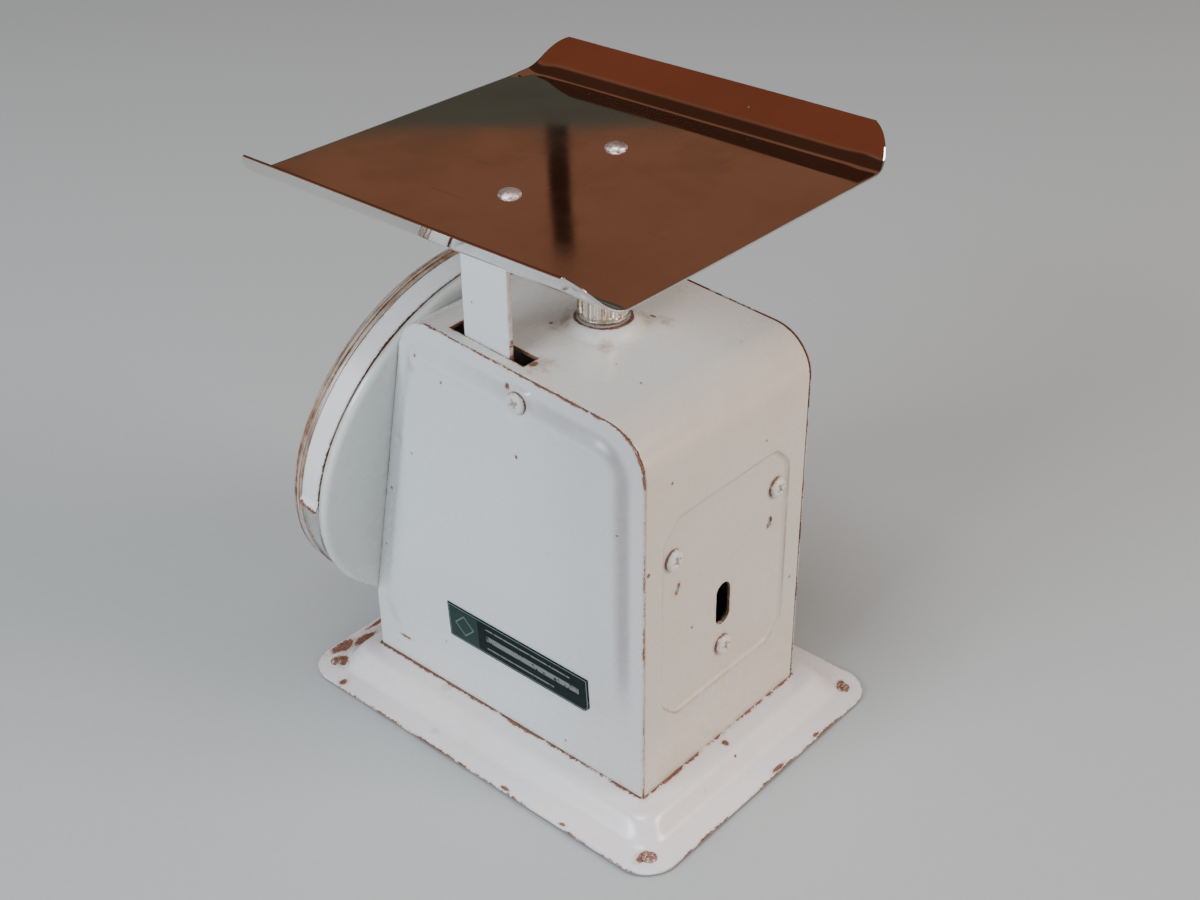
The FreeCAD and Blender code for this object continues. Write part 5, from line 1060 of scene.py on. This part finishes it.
def tray_paint():
    """Polished stainless sheet: fine scratches along and across, cloudy wear and a few deep scuffs."""
    paint = Paint("tray_steel")
    fine = paint.noise(700.0, 4.0, 0.7, place=paint.stretched(1.0, 0.06, 1.0))
    cross = paint.noise(600.0, 4.0, 0.7, place=paint.stretched(0.08, 1.0, 1.0))
    cloud = paint.noise(32.0, 4.0, 0.6)
    scratch = paint.greatest(paint.ramp(fine, 0.66, 0.74), paint.ramp(cross, 0.70, 0.78))
    scuffs = paint.spots([
        (38.0, -22.0, 213.0, (0.7, 9.0, 4.0)), (12.0, -34.0, 213.0, (0.6, 7.0, 4.0)),
        (-40.0, 30.0, 213.0, (6.0, 0.6, 4.0)), (20.0, 50.0, 213.0, (0.6, 5.0, 4.0))], 0.2)[0]
    scuffs = paint.times(scuffs, paint.ramp(paint.noise(1600.0, 3.0, 0.6), 0.4, 0.6))
    specks = paint.dots(150.0, 0.10, 0.10)
    dirt = paint.greatest(paint.times(specks, 0.7), paint.times(scuffs, 0.5))
    steel, dim = (0.70, 0.665, 0.63), (0.62, 0.585, 0.55)
    colour = paint.mix(paint.ramp(cloud, 0.35, 0.7), steel, dim)
    colour = paint.mix(dirt, colour, (0.55, 0.50, 0.45))
    rough = paint.ramp(cloud, 0.35, 0.75, 0.035, 0.075)
    rough = paint.plus(rough, paint.times(scratch, 0.08))
    rough = paint.plus(rough, paint.times(dirt, 0.35))
    wave = paint.noise(16.0, 2.0, 0.5)
    normal = paint.bump(wave, 0.10, 0.5)
    normal = paint.bump(paint.plus(fine, cross), 0.006, 0.35, normal)
    paint.set(Base_Color=colour, Roughness=rough, Normal=normal, Metallic=1.0)
    return paint.material


def tray_section():
    """(x, z) points of the tray's upper surface from the left lip's edge to the right one's."""
    bend_x = TRAY_FLAT + LIP_BEND * math.sin(LIP_ANGLE)
    bend_z = TRAY_TOP + LIP_BEND * (1 - math.cos(LIP_ANGLE))
    reach = (TRAY_HALF - TRAY_SKIN * math.sin(LIP_ANGLE) - bend_x) / math.cos(LIP_ANGLE)
    right = [(TRAY_FLAT + LIP_BEND * math.sin(a), TRAY_TOP + LIP_BEND * (1 - math.cos(a)))
             for a in np.linspace(0, LIP_ANGLE, 15)]
    right += [(bend_x + t * math.cos(LIP_ANGLE), bend_z + t * math.sin(LIP_ANGLE))
              for t in np.linspace(0, reach, 14)[1:]]
    flat = [(x, TRAY_TOP) for x in np.linspace(-TRAY_FLAT, TRAY_FLAT, 45)]
    left = [(-x, z) for x, z in reversed(right)]
    return np.array(left[:-1] + flat + right[1:])


def build_tray(material):
    """The polished sheet: closed rings across it from front to back, with a few slight bends."""
    section = tray_section()
    tangent = np.gradient(section, axis=0)
    normal = np.column_stack([-tangent[:, 1], tangent[:, 0]]) / np.hypot(*tangent.T)[:, None]
    under = section - normal * TRAY_SKIN
    shares = [np.linspace(0, 1, 90), np.linspace(0, 0.08, 16), np.linspace(0.92, 1, 16)]
    rings = [(0.0, -0.16, 0.26), (0.0, -0.12, 0.10)]
    rings += [(share, 0.0, 0.0) for share in np.unique(np.concatenate(shares))]
    rings += [(1.0, 0.12, 0.10), (1.0, 0.16, 0.26)]
    loops = [tray_ring(section, under, *ring) for ring in rings]
    points, faces = skin(loops)
    count, per_side = len(loops[0]), len(section)
    for start in (0, (len(loops) - 1) * count):
        for i in range(per_side - 1):
            low, next_low = (count - 3 - i) % count, (count - 4 - i) % count
            faces.append((start + i, start + i + 1, start + next_low, start + low))
        faces.append((start, start + count - 3, start + count - 2, start + count - 1))
        faces.append((start + per_side - 1, start + per_side, start + per_side + 1, start + per_side + 2))
    bends = ((-65, -78, -0.5, 5.0), (64, 66, -0.12, 5.0), (-66, 66, 0.3, 5.0), (66, -77, -0.4, 6.0),
             (61, 73, 0.1, 3.0), (-62, -84, 0.5, 3.5))
    for x, y, depth, size in bends:
        away = np.hypot(points[:, 0] - x, points[:, 1] - y)
        points[:, 2] += depth * np.exp(-(away / size) ** 2)
    points[:, 2] += 0.10 * np.sin(points[:, 0] * 0.055) * np.sin(points[:, 1] * 0.043 + 0.8)
    piece("tray_sheet", (points, faces), material, "carrier", ["tray"], sharp=50)


EDGE_CROWN = 0.15


def tray_ring(section, under, share, beyond, thinner):
    """One closed loop round the tray's sheet, from the left lip's edge over the top and back underneath.

    It lies a share of the way from front to back, or beyond the end, and can be thinner there."""
    top = section + (under - section) * thinner
    low = under + (section - under) * thinner
    left, right = (end + (end - before) / np.hypot(*(end - before)) * EDGE_CROWN
                   for end, before in ((top[0], top[1]), (top[-1], top[-2])))
    down_left, down_right = low[0] - top[0], low[-1] - top[-1]
    flat = np.concatenate([top, [right + down_right * 0.25, right + down_right * 0.75], low[::-1],
                           [left + down_left * 0.75, left + down_left * 0.25]])
    over = np.clip(np.abs(flat[:, 0]) - (TRAY_HALF - LIP_CORNER), 0, LIP_CORNER - 0.6)
    pulled = LIP_CORNER - np.sqrt(LIP_CORNER ** 2 - over ** 2)
    y = (TRAY_FRONT + pulled) * (1 - share) + (TRAY_BACK - pulled) * share + beyond
    return np.column_stack([flat[:, 0], y, flat[:, 1]])


def arm_rust(paint):
    return (edge_rust(paint, paint.mark("edge_mm"), 0.35, 0.92, 240.0),), 0.0, 0.0


def build_tray_bracket():
    """The strap under the tray, bent down into two arms."""
    top = TRAY_TOP - TRAY_SKIN
    bend = 4.0
    half = [(ARM_X, z) for z in np.linspace(ARM_LOW, top - bend, 60)]
    half += [(ARM_X - bend + bend * math.cos(a), top - bend + bend * math.sin(a))
             for a in np.linspace(0, math.pi / 2, 9)[1:]]
    half += [(x, top) for x in np.linspace(ARM_X - bend, 0, 14)[1:]]
    line = np.array(half + [(-x, z) for x, z in reversed(half[:-1])])
    ys = spread((ARM_FRONT, ARM_BACK, 1.5), (ARM_FRONT, ARM_FRONT + 1, 0.3), (ARM_BACK - 1, ARM_BACK, 0.3))
    loops = [np.column_stack([np.full(len(ys), x), ys, np.full(len(ys), z)]) for x, z in line]
    points, faces = skin(loops, closed=False)
    edge = np.minimum(points[:, 1] - ARM_FRONT, ARM_BACK - points[:, 1])
    tint, warm = (0.77, 0.795, 0.815), (0.77, 0.775, 0.765)
    material = enamel("arm_enamel", tint, warm, arm_rust, gloss=0.32, speckle=0.01)
    piece("tray_arms", (points, faces), material, "carrier", ["tray_bracket"],
          thickness=ARM_SKIN, bevel=EDGE_BEVEL, marks={"edge_mm": edge}, inside=(0, -6, 120))


# ---------------------------------------------------------------- zero adjuster knob

def knob_paint():
    """Worn plating, brassy in places, with dark dirt down the flutes and round the foot."""
    paint = Paint("knob_plating")
    worn = paint.noise(160.0, 4.0, 0.65)
    fine = paint.noise(1500.0, 4.0, 0.7, place=paint.stretched(1.0, 1.0, 0.15))
    height = paint.axes()[2]
    low = paint.ramp(height, (KNOB_FOOT + 2.2) * MM, KNOB_FOOT * MM)
    plating, brassy = (0.78, 0.73, 0.66), (0.56, 0.43, 0.30)
    colour = paint.mix(paint.ramp(worn, 0.42, 0.66), plating, brassy)
    grime = paint.ramp(paint.plus(fine, paint.times(low, 0.2)), 0.62, 0.78)
    colour = paint.mix(grime, colour, (0.20, 0.11, 0.06))
    rough = paint.plus(paint.ramp(worn, 0.3, 0.7, 0.16, 0.34), paint.times(grime, 0.4))
    paint.set(Base_Color=colour, Roughness=rough, Normal=paint.bump(fine, 0.02, 0.5), Metallic=1.0)
    return paint.material


def build_knob():
    """A knurled knob on a turned foot: rings of (radius, height, share of the flutes' depth)."""
    count = FLUTES * 14
    angles = np.linspace(0, 2 * math.pi, count, endpoint=False)
    phase = np.abs(((angles * FLUTES / (2 * math.pi)) % 1.0) - 0.5) * 2
    groove = smooth(0.30, 1.0, phase)
    profile = [(3.1, 0.0, 0), (7.6, 0.0, 0), (8.6, 0.12, 0), (9.1, 0.5, 0), (9.3, 0.95, 0), (9.25, 1.4, 0),
               (8.9, 1.75, 0), (8.75, 1.95, 0.35 / FLUTE_DEPTH)]
    profile += [(KNOB_R, h, 1.0) for h in np.linspace(2.3, 15.8, 16)]
    profile += [(8.9, 16.5, 0.8), (8.6, 17.2, 0.5), (8.1, 17.75, 0.2), (7.5, 18.0, 0), (6.6, 18.0, 0),
                (6.3, 17.8, 0), (4.0, 17.7, 0), (0.1, 17.65, 0)]
    rings = []
    for radius, h, share in profile:
        r = radius - FLUTE_DEPTH * share * groove
        level = np.full(count, KNOB_FOOT + h)
        rings.append(np.column_stack([r * np.cos(angles), r * np.sin(angles) + KNOB_Y, level]))
    piece("zero_knob", skin(rings, caps=(True, True)), knob_paint(), "adjuster",
          ["adjust_knob"], sharp=32)


# ---------------------------------------------------------------- dial drum

def pan_rust(paint):
    """Rust and a tan stain round the pan's rim, heavier low down."""
    edge, low = paint.mark("edge_mm"), paint.ramp(paint.axes()[2], 0.085, 0.020)
    depth = edge_rust(paint, edge, 1.0, paint.plus(paint.times(low, 0.24), 0.74), 220.0)
    tan = paint.times(paint.ramp(edge, 1.9, 0.5),
                     paint.ramp(paint.noise(170.0, 3.0, 0.6), 0.25, 0.65, 0.55, 1.0))
    tan = paint.times(tan, paint.plus(paint.times(low, 0.35), 0.5))
    return (depth,), 0.0, 0.0, (tan, (0.26, 0.165, 0.105))


def build_pan():
    """The round dish behind the dial, with its bore for the shaft."""
    profile = soften([(4.05, 1.0, 0), (4.05, 0.0, 0.1), (20.0, 0.0, 0), (45.0, 0.0, 0), (62.0, 0.0, 0),
                      (DIAL_R, 0.0, 2.8), (DIAL_R, PAN_RIM, 0.4), (72.8, PAN_RIM, 0.2), (72.8, 5.4, 0.2),
                      (71.6, 5.4, 0.2), (71.6, 1.0, 1.4), (40.0, 1.0, 0), (4.06, 1.0, 0)], 8)
    points, faces = skin(lathe(profile, 192))
    radius = np.hypot(points[:, 0], points[:, 1])
    edge = np.hypot(np.maximum(DIAL_R - radius, 0), np.abs(points[:, 2] - PAN_RIM))
    tint, warm = (0.765, 0.80, 0.77), (0.765, 0.77, 0.73)
    material = enamel("pan_enamel", tint, warm, pan_rust, speckle=0.006, stain=0.6)
    piece("dial_back_pan", (to_dial(points), faces), material, "stand", ["dial_pan"],
          marks={"edge_mm": edge})


def band_rust(paint):
    """Rust along the strap's edges, more at its two ends, and faint scratches round it."""
    edge = edge_rust(paint, paint.mark("edge_mm"), 0.40, 0.95, 230.0)
    ends = edge_rust(paint, paint.mark("end_mm"), 1.1, 1.16, 260.0)
    streak = paint.noise(60.0, 3.0, 0.6)
    place = paint.sheet(paint.mark("around_mm"), 1.0, paint.mark("edge_mm"), 0.03)
    lines = paint.noise(1.1, 3.0, 0.75, place=place)
    scratch = paint.times(paint.ramp(lines, 0.66, 0.70), paint.ramp(streak, 0.45, 0.6))
    return (edge, ends), paint.times(scratch, 0.32), 0.0


def build_band():
    """A thin strap round the upper part of the drum, with its two ends bent outwards."""
    inner, outer = LENS_R + 0.06, DIAL_R - 0.12
    angles = np.linspace(-BAND_END, math.pi + BAND_END, 220)
    around = (angles + BAND_END) * outer
    length = around[-1]
    from_end = np.minimum(around, length - around)
    flare = 1.5 * smooth(3.6, 0.0, from_end) ** 1.4
    section = [(outer, BAND_REAR + 0.25), (outer, BAND_REAR + 1.2), (outer, BAND_REAR + 3.2), (outer, 8.4),
               (outer, BAND_FRONT - 3.2), (outer, BAND_FRONT - 1.2), (outer, BAND_FRONT - 0.25),
               (outer - 0.2, BAND_FRONT), (inner + 0.1, BAND_FRONT), (inner, BAND_FRONT - 0.2),
               (inner, BAND_REAR + 0.2), (inner + 0.1, BAND_REAR), (outer - 0.2, BAND_REAR)]
    loops = []
    for angle, lift in zip(angles, flare):
        across, up = math.cos(angle), math.sin(angle)
        loops.append(np.array([((r + lift) * across, (r + lift) * up, w) for r, w in section]))
    points, faces = skin(loops, caps=(True, True))
    edge = np.minimum(points[:, 2] - BAND_REAR, BAND_FRONT - points[:, 2])
    material = enamel("band_enamel", (0.80, 0.80, 0.81), (0.80, 0.775, 0.77), band_rust, gloss=0.3)
    marks = {"edge_mm": edge, "end_mm": np.repeat(from_end, len(section)),
             "around_mm": np.repeat(around, len(section))}
    piece("rim_strap", (to_dial(points), faces), material, "stand", ["rim_band"], marks=marks)


def lens_paint():
    """Clear plastic, yellowed and dirty where the rim is thick."""
    paint = Paint("lens_plastic")
    rim, around = paint.mark("rim"), paint.mark("around_mm")
    level = paint.mark("level_mm")
    layers = paint.noise(1.0, 4.0, 0.7, place=paint.sheet(around, 0.022, level, 1.3))
    streaks = paint.ramp(layers, 0.40, 0.56)
    broken = paint.ramp(paint.noise(150.0, 4.0, 0.7), 0.40, 0.60)
    brown = paint.mix(broken, (0.19, 0.075, 0.035), (0.42, 0.25, 0.15))
    pale = (0.63, 0.58, 0.52)
    aged = paint.mix(streaks, pale, brown)
    colour = paint.mix(rim, (0.97, 0.97, 0.95), aged)
    patchy = paint.ramp(paint.noise(300.0, 3.0, 0.6), 0.30, 0.55)
    dirt = paint.times(paint.ramp(level, 4.9, 4.2), patchy)
    colour = paint.mix(dirt, colour, (0.20, 0.12, 0.08))
    clear = paint.mix_value(paint.greatest(rim, dirt), 1.0, 0.15)
    haze = paint.noise(240.0, 4.0, 0.6)
    rough = paint.plus(paint.ramp(haze, 0.4, 0.8, 0.03, 0.09), paint.times(rim, 0.22))
    paint.set(Base_Color=colour, Roughness=rough, Transmission_Weight=clear,
              Normal=paint.bump(paint.times(layers, rim), 0.25, 0.5), IOR=1.46)
    return paint.material


def build_lens():
    """The clear cap: (radius, height) over the dome, down the ribbed rim and skirt, and back inside."""
    depth, crown, thick = DIAL_DEPTH, 1.6, 1.8
    front = [(r, depth + crown * (1 - (r / 71.0) ** 2)) for r in np.linspace(0.4, 70.5, 22)]
    rim = [(72.6, depth - 0.05), (73.9, depth - 0.5), (74.6, depth - 1.3), (74.7, 16.7), (74.65, 16.35),
           (74.3, 16.15), (74.65, 15.95), (74.7, 15.6), (74.7, 14.9), (74.3, 14.65), (74.7, 14.4),
           (74.7, 13.4), (74.5, 13.05), (74.0, 12.95)]
    rim += [(LENS_R, h) for h in (12.0, 9.0, 6.0, 4.2)] + [(LENS_R - 0.3, 3.95)]
    inner = [(72.95, 3.95), (72.9, 4.3), (72.9, 8.0), (72.9, 12.0), (72.9, 14.6), (72.4, 16.0), (70.6, 16.7)]
    inner += [(r, depth + crown - thick - crown * (r / 71.0) ** 2) for r in np.linspace(69.0, 0.4, 14)]
    points, faces = skin(lathe(front + rim + inner, 224), caps=(True, True))
    x, y, height = points.T
    radius = np.hypot(x, y)
    marks = {"rim": smooth(70.8, 73.0, radius) * smooth(11.8, 13.4, height) * (radius > 73.2),
             "around_mm": np.arctan2(y, x) * LENS_R, "level_mm": height}
    piece("dial_cap", (to_dial(points), faces), lens_paint(), "stand", ["dial_lens"],
          marks=marks, sharp=32)


def face_paint():
    """Printed card, yellowed in clouds and lightly foxed."""
    paint = Paint("dial_card_print")
    mottle = paint.noise(40.0, 4.0, 0.6)
    tone = paint.mix(paint.ramp(mottle, 0.45, 0.8), (0.86, 0.85, 0.80), (0.78, 0.74, 0.64))
    freckles = paint.dots(180.0, 0.03, 0.14)
    colour = paint.mix(freckles, tone, (0.42, 0.30, 0.18))
    paint.set(Base_Color=colour, Roughness=paint.ramp(mottle, 0.3, 0.7, 0.35, 0.5),
              Normal=paint.bump(paint.noise(600.0, 2.0, 0.5), 0.02, 0.3))
    return paint.material


def ink_paint(name, colour):
    paint = Paint(name)
    faded = paint.noise(500.0, 4.0, 0.7)
    paler = tuple(c + 0.12 for c in colour)
    paint.set(Base_Color=paint.mix(paint.ramp(faded, 0.5, 0.8), colour, paler),
              Roughness=paint.ramp(faded, 0.3, 0.7, 0.3, 0.5), Normal=paint.bump(faded, 0.01, 0.3))
    return paint.material


def dial_angle(grams):
    """Angle in the dial's plane from +X for a weight; more weight goes clockwise as the front is seen."""
    return math.pi / 2 - FULL_TURN * grams / FULL_GRAMS


def closed_ring(profile, steps):
    """A solid ring with a (radius, height) profile that closes on itself."""
    loops = lathe(profile, steps)
    return skin(loops + loops[:1])


def printed_circle(radius, width, steps):
    low, high = PRINT
    return closed_ring([(radius, low), (radius + width, low), (radius + width, high), (radius, high)], steps)


def tick(grams):
    """One graduation, longer and bolder every 50 g and 100 g."""
    long, half = (7.5, 0.34) if grams % 100 == 0 else (5.2, 0.22) if grams % 50 == 0 else (3.2, 0.13)
    angle = dial_angle(grams)
    out, side = np.array([math.cos(angle), math.sin(angle)]), np.array([-math.sin(angle), math.cos(angle)])
    places = ((TICKS_R - long, -half), (TICKS_R, -half), (TICKS_R, half), (TICKS_R - long, half))
    corners = [out * r + side * s for r, s in places]
    return skin([np.array([(*corner, level) for corner in corners]) for level in PRINT], caps=(True, True))


def build_dial_face():
    """The dial card, and on it the graduations, two circles and the figures in raised ink."""
    profile = [(4.0, 6.0), (FACE_R - 0.1, 6.0), (FACE_R, 6.1), (FACE_R, 6.5), (FACE_R - 0.1, FACE_W),
               (4.0, FACE_W)]
    points, faces = closed_ring(profile, 160)
    piece("dial_card_disc", (to_dial(points), faces), face_paint(), "stand", ["dial_plate"])
    ink = ink_paint("dial_ink", (0.03, 0.03, 0.035))
    parts = [tick(grams) for grams in range(0, FULL_GRAMS + 1, 10)]
    parts += [printed_circle(TICKS_R, 0.3, 200), printed_circle(RING_R, 0.25, 120)]
    for grams in range(0, FULL_GRAMS, 100):
        parts.append(digits(str(grams), dial_angle(grams), 5.6 if grams % 500 == 0 else 4.6))
    points, faces = joined(*parts)
    piece("dial_marks", (to_dial(points), faces), ink, "stand")


def digits(text, angle, height):
    """Upright figures at a place on the dial, in dial coordinates seen from the front."""
    curve = bpy.data.curves.new("figures", "FONT")
    curve.body = text
    curve.size = height
    curve.align_x = "CENTER"
    curve.align_y = "CENTER"
    curve.resolution_u = 3
    curve.extrude = 0.04
    holder = link("figures", curve)
    graph = bpy.context.evaluated_depsgraph_get()
    data = bpy.data.meshes.new_from_object(holder.evaluated_get(graph))
    points = np.array([v.co for v in data.vertices], float).reshape(-1, 3)
    faces = [tuple(p.vertices) for p in data.polygons]
    bpy.data.objects.remove(holder)
    bpy.data.meshes.remove(data)
    bpy.data.curves.remove(curve)
    place = np.array([FIGURES_R * math.cos(angle), FIGURES_R * math.sin(angle), FACE_W + 0.03])
    return points + place, faces


# ---------------------------------------------------------------- springs

def build_springs(material):
    """Two close coils, which stretch between the stand's hanger and the carrier's yoke."""
    for label, side in (("spring_left", -1), ("spring_right", 1)):
        steps = SPRING_TURNS * 20
        turns = np.linspace(0, SPRING_TURNS, steps + 1) * 2 * math.pi
        height = np.linspace(SPRING_LOW, SPRING_HIGH, steps + 1)
        centres = np.column_stack([side * SPRING_X + SPRING_R * np.cos(turns),
                                   KNOB_Y + SPRING_R * np.sin(turns), height])
        round_about = np.linspace(0, 2 * math.pi, 8, endpoint=False)
        loops = []
        for centre, turn in zip(centres, turns):
            outward = np.array([math.cos(turn), math.sin(turn), 0])
            loops.append(centre + SPRING_WIRE * (np.cos(round_about)[:, None] * outward
                                                 + np.sin(round_about)[:, None] * np.array([0, 0, 1.0])))
        points, faces = skin(loops, caps=(True, True))
        data = bpy.data.meshes.new(label + "_coil")
        data.from_pydata((points * MM).tolist(), [], faces)
        orient(data, None)
        data.shade_smooth()
        data.materials.append(material)
        coil = link(label + "_coil", data)
        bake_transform(coil)
        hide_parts(label)


# ---------------------------------------------------------------- nodes kept from the frame

def dress_nodes():
    """Gives every node of the frame a worn material of its own kind. Replaced nodes are hidden later."""
    plated = metal("zinc_plate", (0.55, 0.54, 0.50), 0.28, (1.0, 1.0, 0.2))
    brass = metal("machined_brass", (0.66, 0.48, 0.22), 0.25, (1.0, 1.0, 0.3))
    red, deep_red = (0.50, 0.03, 0.02), (0.42, 0.025, 0.02)
    pointer = enamel("pointer_enamel", red, deep_red, gloss=0.25, speckle=0.0, stain=0.0)
    pads = Paint("foot_rubber_aged")
    grain = pads.noise(1400.0, 3.0, 0.6)
    pads.set(Base_Color=pads.mix(pads.ramp(grain, 0.4, 0.7), (0.018, 0.018, 0.018), (0.05, 0.048, 0.045)),
             Roughness=pads.ramp(grain, 0.3, 0.7, 0.6, 0.85), Normal=pads.bump(grain, 0.08, 0.5))
    finishes = {
        "plated_steel": plated, "spring_plug": brass, "bearing_brass": brass, "pointer_paint": pointer,
        "foot_rubber": pads.material,
    }
    slots = {row["node"]: row["material_slot"] for row in frame["record"]["subparts"]}
    for name, node in frame["nodes"].items():
        material = finishes.get(slots.get(name), plated)
        node.data.materials.clear()
        node.data.materials.append(material)
        node.data.polygons.foreach_set("material_index", np.zeros(len(node.data.polygons), np.int32))


# ---------------------------------------------------------------- stage, light and camera, in metres

LIT_PLACE = (0, 0, 0.1)


def build_stage():
    """A plain round floor of matt grey-white paper."""
    rings = [(radius, 0.0) for radius in (20.0, 300.0, 800.0, 1600.0, 3000.0, 6000.0)]
    points, faces = skin(lathe(rings, 64), caps=(True, False))
    data = bpy.data.meshes.new("floor")
    data.from_pydata((points * MM).tolist(), [], faces)
    orient(data, (0, 0, -1000))
    paint = Paint("floor_paper")
    grain = paint.noise(300.0, 3.0, 0.6)
    paint.set(Base_Color=paint.mix(grain, (0.40, 0.415, 0.415), (0.44, 0.455, 0.455)), Roughness=0.75,
              Normal=paint.bump(grain, 0.05, 0.2))
    data.materials.append(paint.material)
    floor = link("floor", data)


PALE, CLOTH, POST = (1.05, 1.07, 1.10), (0.36, 0.35, 0.27), (0.13, 0.055, 0.036)
WOOD, DARK_WOOD, RED_WOOD = (1.00, 0.43, 0.25), (0.30, 0.115, 0.07), (0.95, 0.27, 0.14)
WORLD_STRENGTH = 0.22


def compass(degrees):
    """A level direction, from +X towards +Y."""
    return (math.cos(math.radians(degrees)), math.sin(math.radians(degrees)), 0.0)


def build_world():
    """A plain pale room with soft-edged zones on the dial's side, which the polished tray mirrors.

    From a little over the horizon up, that side is brown wood, darker over a band of directions and redder
    past it towards +X. In one direction a dull green cloth stands before the wood, under a dark post."""
    world = bpy.data.worlds.new("studio")
    bpy.context.scene.world = world
    world.use_nodes = True
    nodes, links = world.node_tree.nodes, world.node_tree.links
    background = nodes["Background"]
    where = nodes.new("ShaderNodeTexCoord").outputs["Generated"]
    split = nodes.new("ShaderNodeSeparateXYZ")
    links.new(where, split.inputs[0])

    def ramp(value, low, high):
        made = nodes.new("ShaderNodeMapRange")
        made.interpolation_type = "SMOOTHSTEP"
        links.new(value, made.inputs[0])
        made.inputs[1].default_value = low
        made.inputs[2].default_value = high
        return made.outputs[0]

    def both(*masks):
        result = masks[0]
        for mask in masks[1:]:
            made = nodes.new("ShaderNodeMath")
            made.operation = "MULTIPLY"
            links.new(result, made.inputs[0])
            links.new(mask, made.inputs[1])
            result = made.outputs[0]
        return result

    def between(value, rise, fall):
        return both(ramp(value, *rise), ramp(value, *fall))

    def along(direction):
        made = nodes.new("ShaderNodeVectorMath")
        made.operation = "DOT_PRODUCT"
        links.new(where, made.inputs[0])
        made.inputs[1].default_value = direction
        return made.outputs["Value"]

    def tint(factor, below, colour):
        made = nodes.new("ShaderNodeMix")
        made.data_type = "RGBA"
        links.new(factor, made.inputs[0])
        if isinstance(below, tuple):
            made.inputs[6].default_value = (*below, 1.0)
        else:
            links.new(below, made.inputs[6])
        made.inputs[7].default_value = (*colour, 1.0)
        return made.outputs[2]

    sideways, height = split.outputs[0], split.outputs[2]
    across = along(compass(-47.1))
    wall = both(ramp(along(compass(-100)), 0.05, 0.25), ramp(height, 0.12, 0.20))
    wood = both(wall, ramp(height, 0.95, 0.86))
    ahead = ramp(along(compass(-137.1)), 0.60, 0.80)
    cloth = both(ahead, between(height, (0.12, 0.18), (0.366, 0.358)))
    post = both(ahead, between(across, (-0.008, -0.005), (0.009, 0.006)),
                between(height, (0.358, 0.362), (0.436, 0.430)))
    colour = tint(wood, PALE, WOOD)
    colour = tint(both(wall, between(sideways, (-0.56, -0.48), (0.20, 0.05))), colour, DARK_WOOD)
    colour = tint(both(wood, ramp(sideways, 0.12, 0.34)), colour, RED_WOOD)
    colour = tint(cloth, colour, CLOTH)
    colour = tint(post, colour, POST)
    links.new(colour, background.inputs[0])
    background.inputs[1].default_value = WORLD_STRENGTH


def aim(holder, place, target, roll=0.0):
    """Puts an object at a place with its -Z axis towards a target, rolled about that axis."""
    place = Vector(place)
    holder.location = place
    holder.rotation_mode = "QUATERNION"
    turn = Quaternion((0, 0, 1), math.radians(roll))
    holder.rotation_quaternion = (Vector(target) - place).to_track_quat("-Z", "Y") @ turn


def add_light(name, place, size, power, colour):
    """A soft rectangular light, sized in metres, that faces the scale."""
    light = bpy.data.lights.new(name, "AREA")
    light.shape = "RECTANGLE"
    light.size, light.size_y = size
    light.energy = power
    light.color = colour
    aim(link(name, light), place, LIT_PLACE)


def build_lights():
    add_light("overhead", (0.45, 0.10, 2.2), (0.8, 0.8), 26.0, (0.97, 0.98, 1.0))
    add_light("window", (1.85, -0.28, 1.10), (1.2, 0.6), 40.0, (0.80, 0.91, 1.0))
    add_light("ceiling", (-0.65, 1.55, 1.25), (0.8, 0.6), 24.0, (1.0, 0.90, 0.83))
    add_light("lamp", (-0.85, 1.85, 0.20), (0.9, 0.35), 9.0, (1.0, 0.64, 0.38))


def build_camera():
    camera = bpy.data.cameras.new("camera")
    camera.lens = 49.28
    camera.sensor_width = 36.0
    holder = link("camera", camera)
    aim(holder, (0.3727, 0.3391, 0.4220), (-0.0259, -0.0147, 0.0885), roll=-0.64)
    bpy.context.scene.camera = holder


# ---------------------------------------------------------------- everything

dress_nodes()
build_base()
build_foot_rivets()
build_case_wrap()
build_side_covers()
build_label()
build_screws()
steel = tray_paint()
build_tray(steel)
build_tray_rivets(metal("rivet_steel", (0.70, 0.60, 0.57), 0.34, (1.0, 0.3, 1.0), worn=0.15))
build_tray_bracket()
build_knob()
build_pan()
build_band()
build_lens()
build_dial_face()
build_springs(metal("spring_wire", (0.40, 0.40, 0.41), 0.25))
build_stage()
build_world()
build_lights()
build_camera()
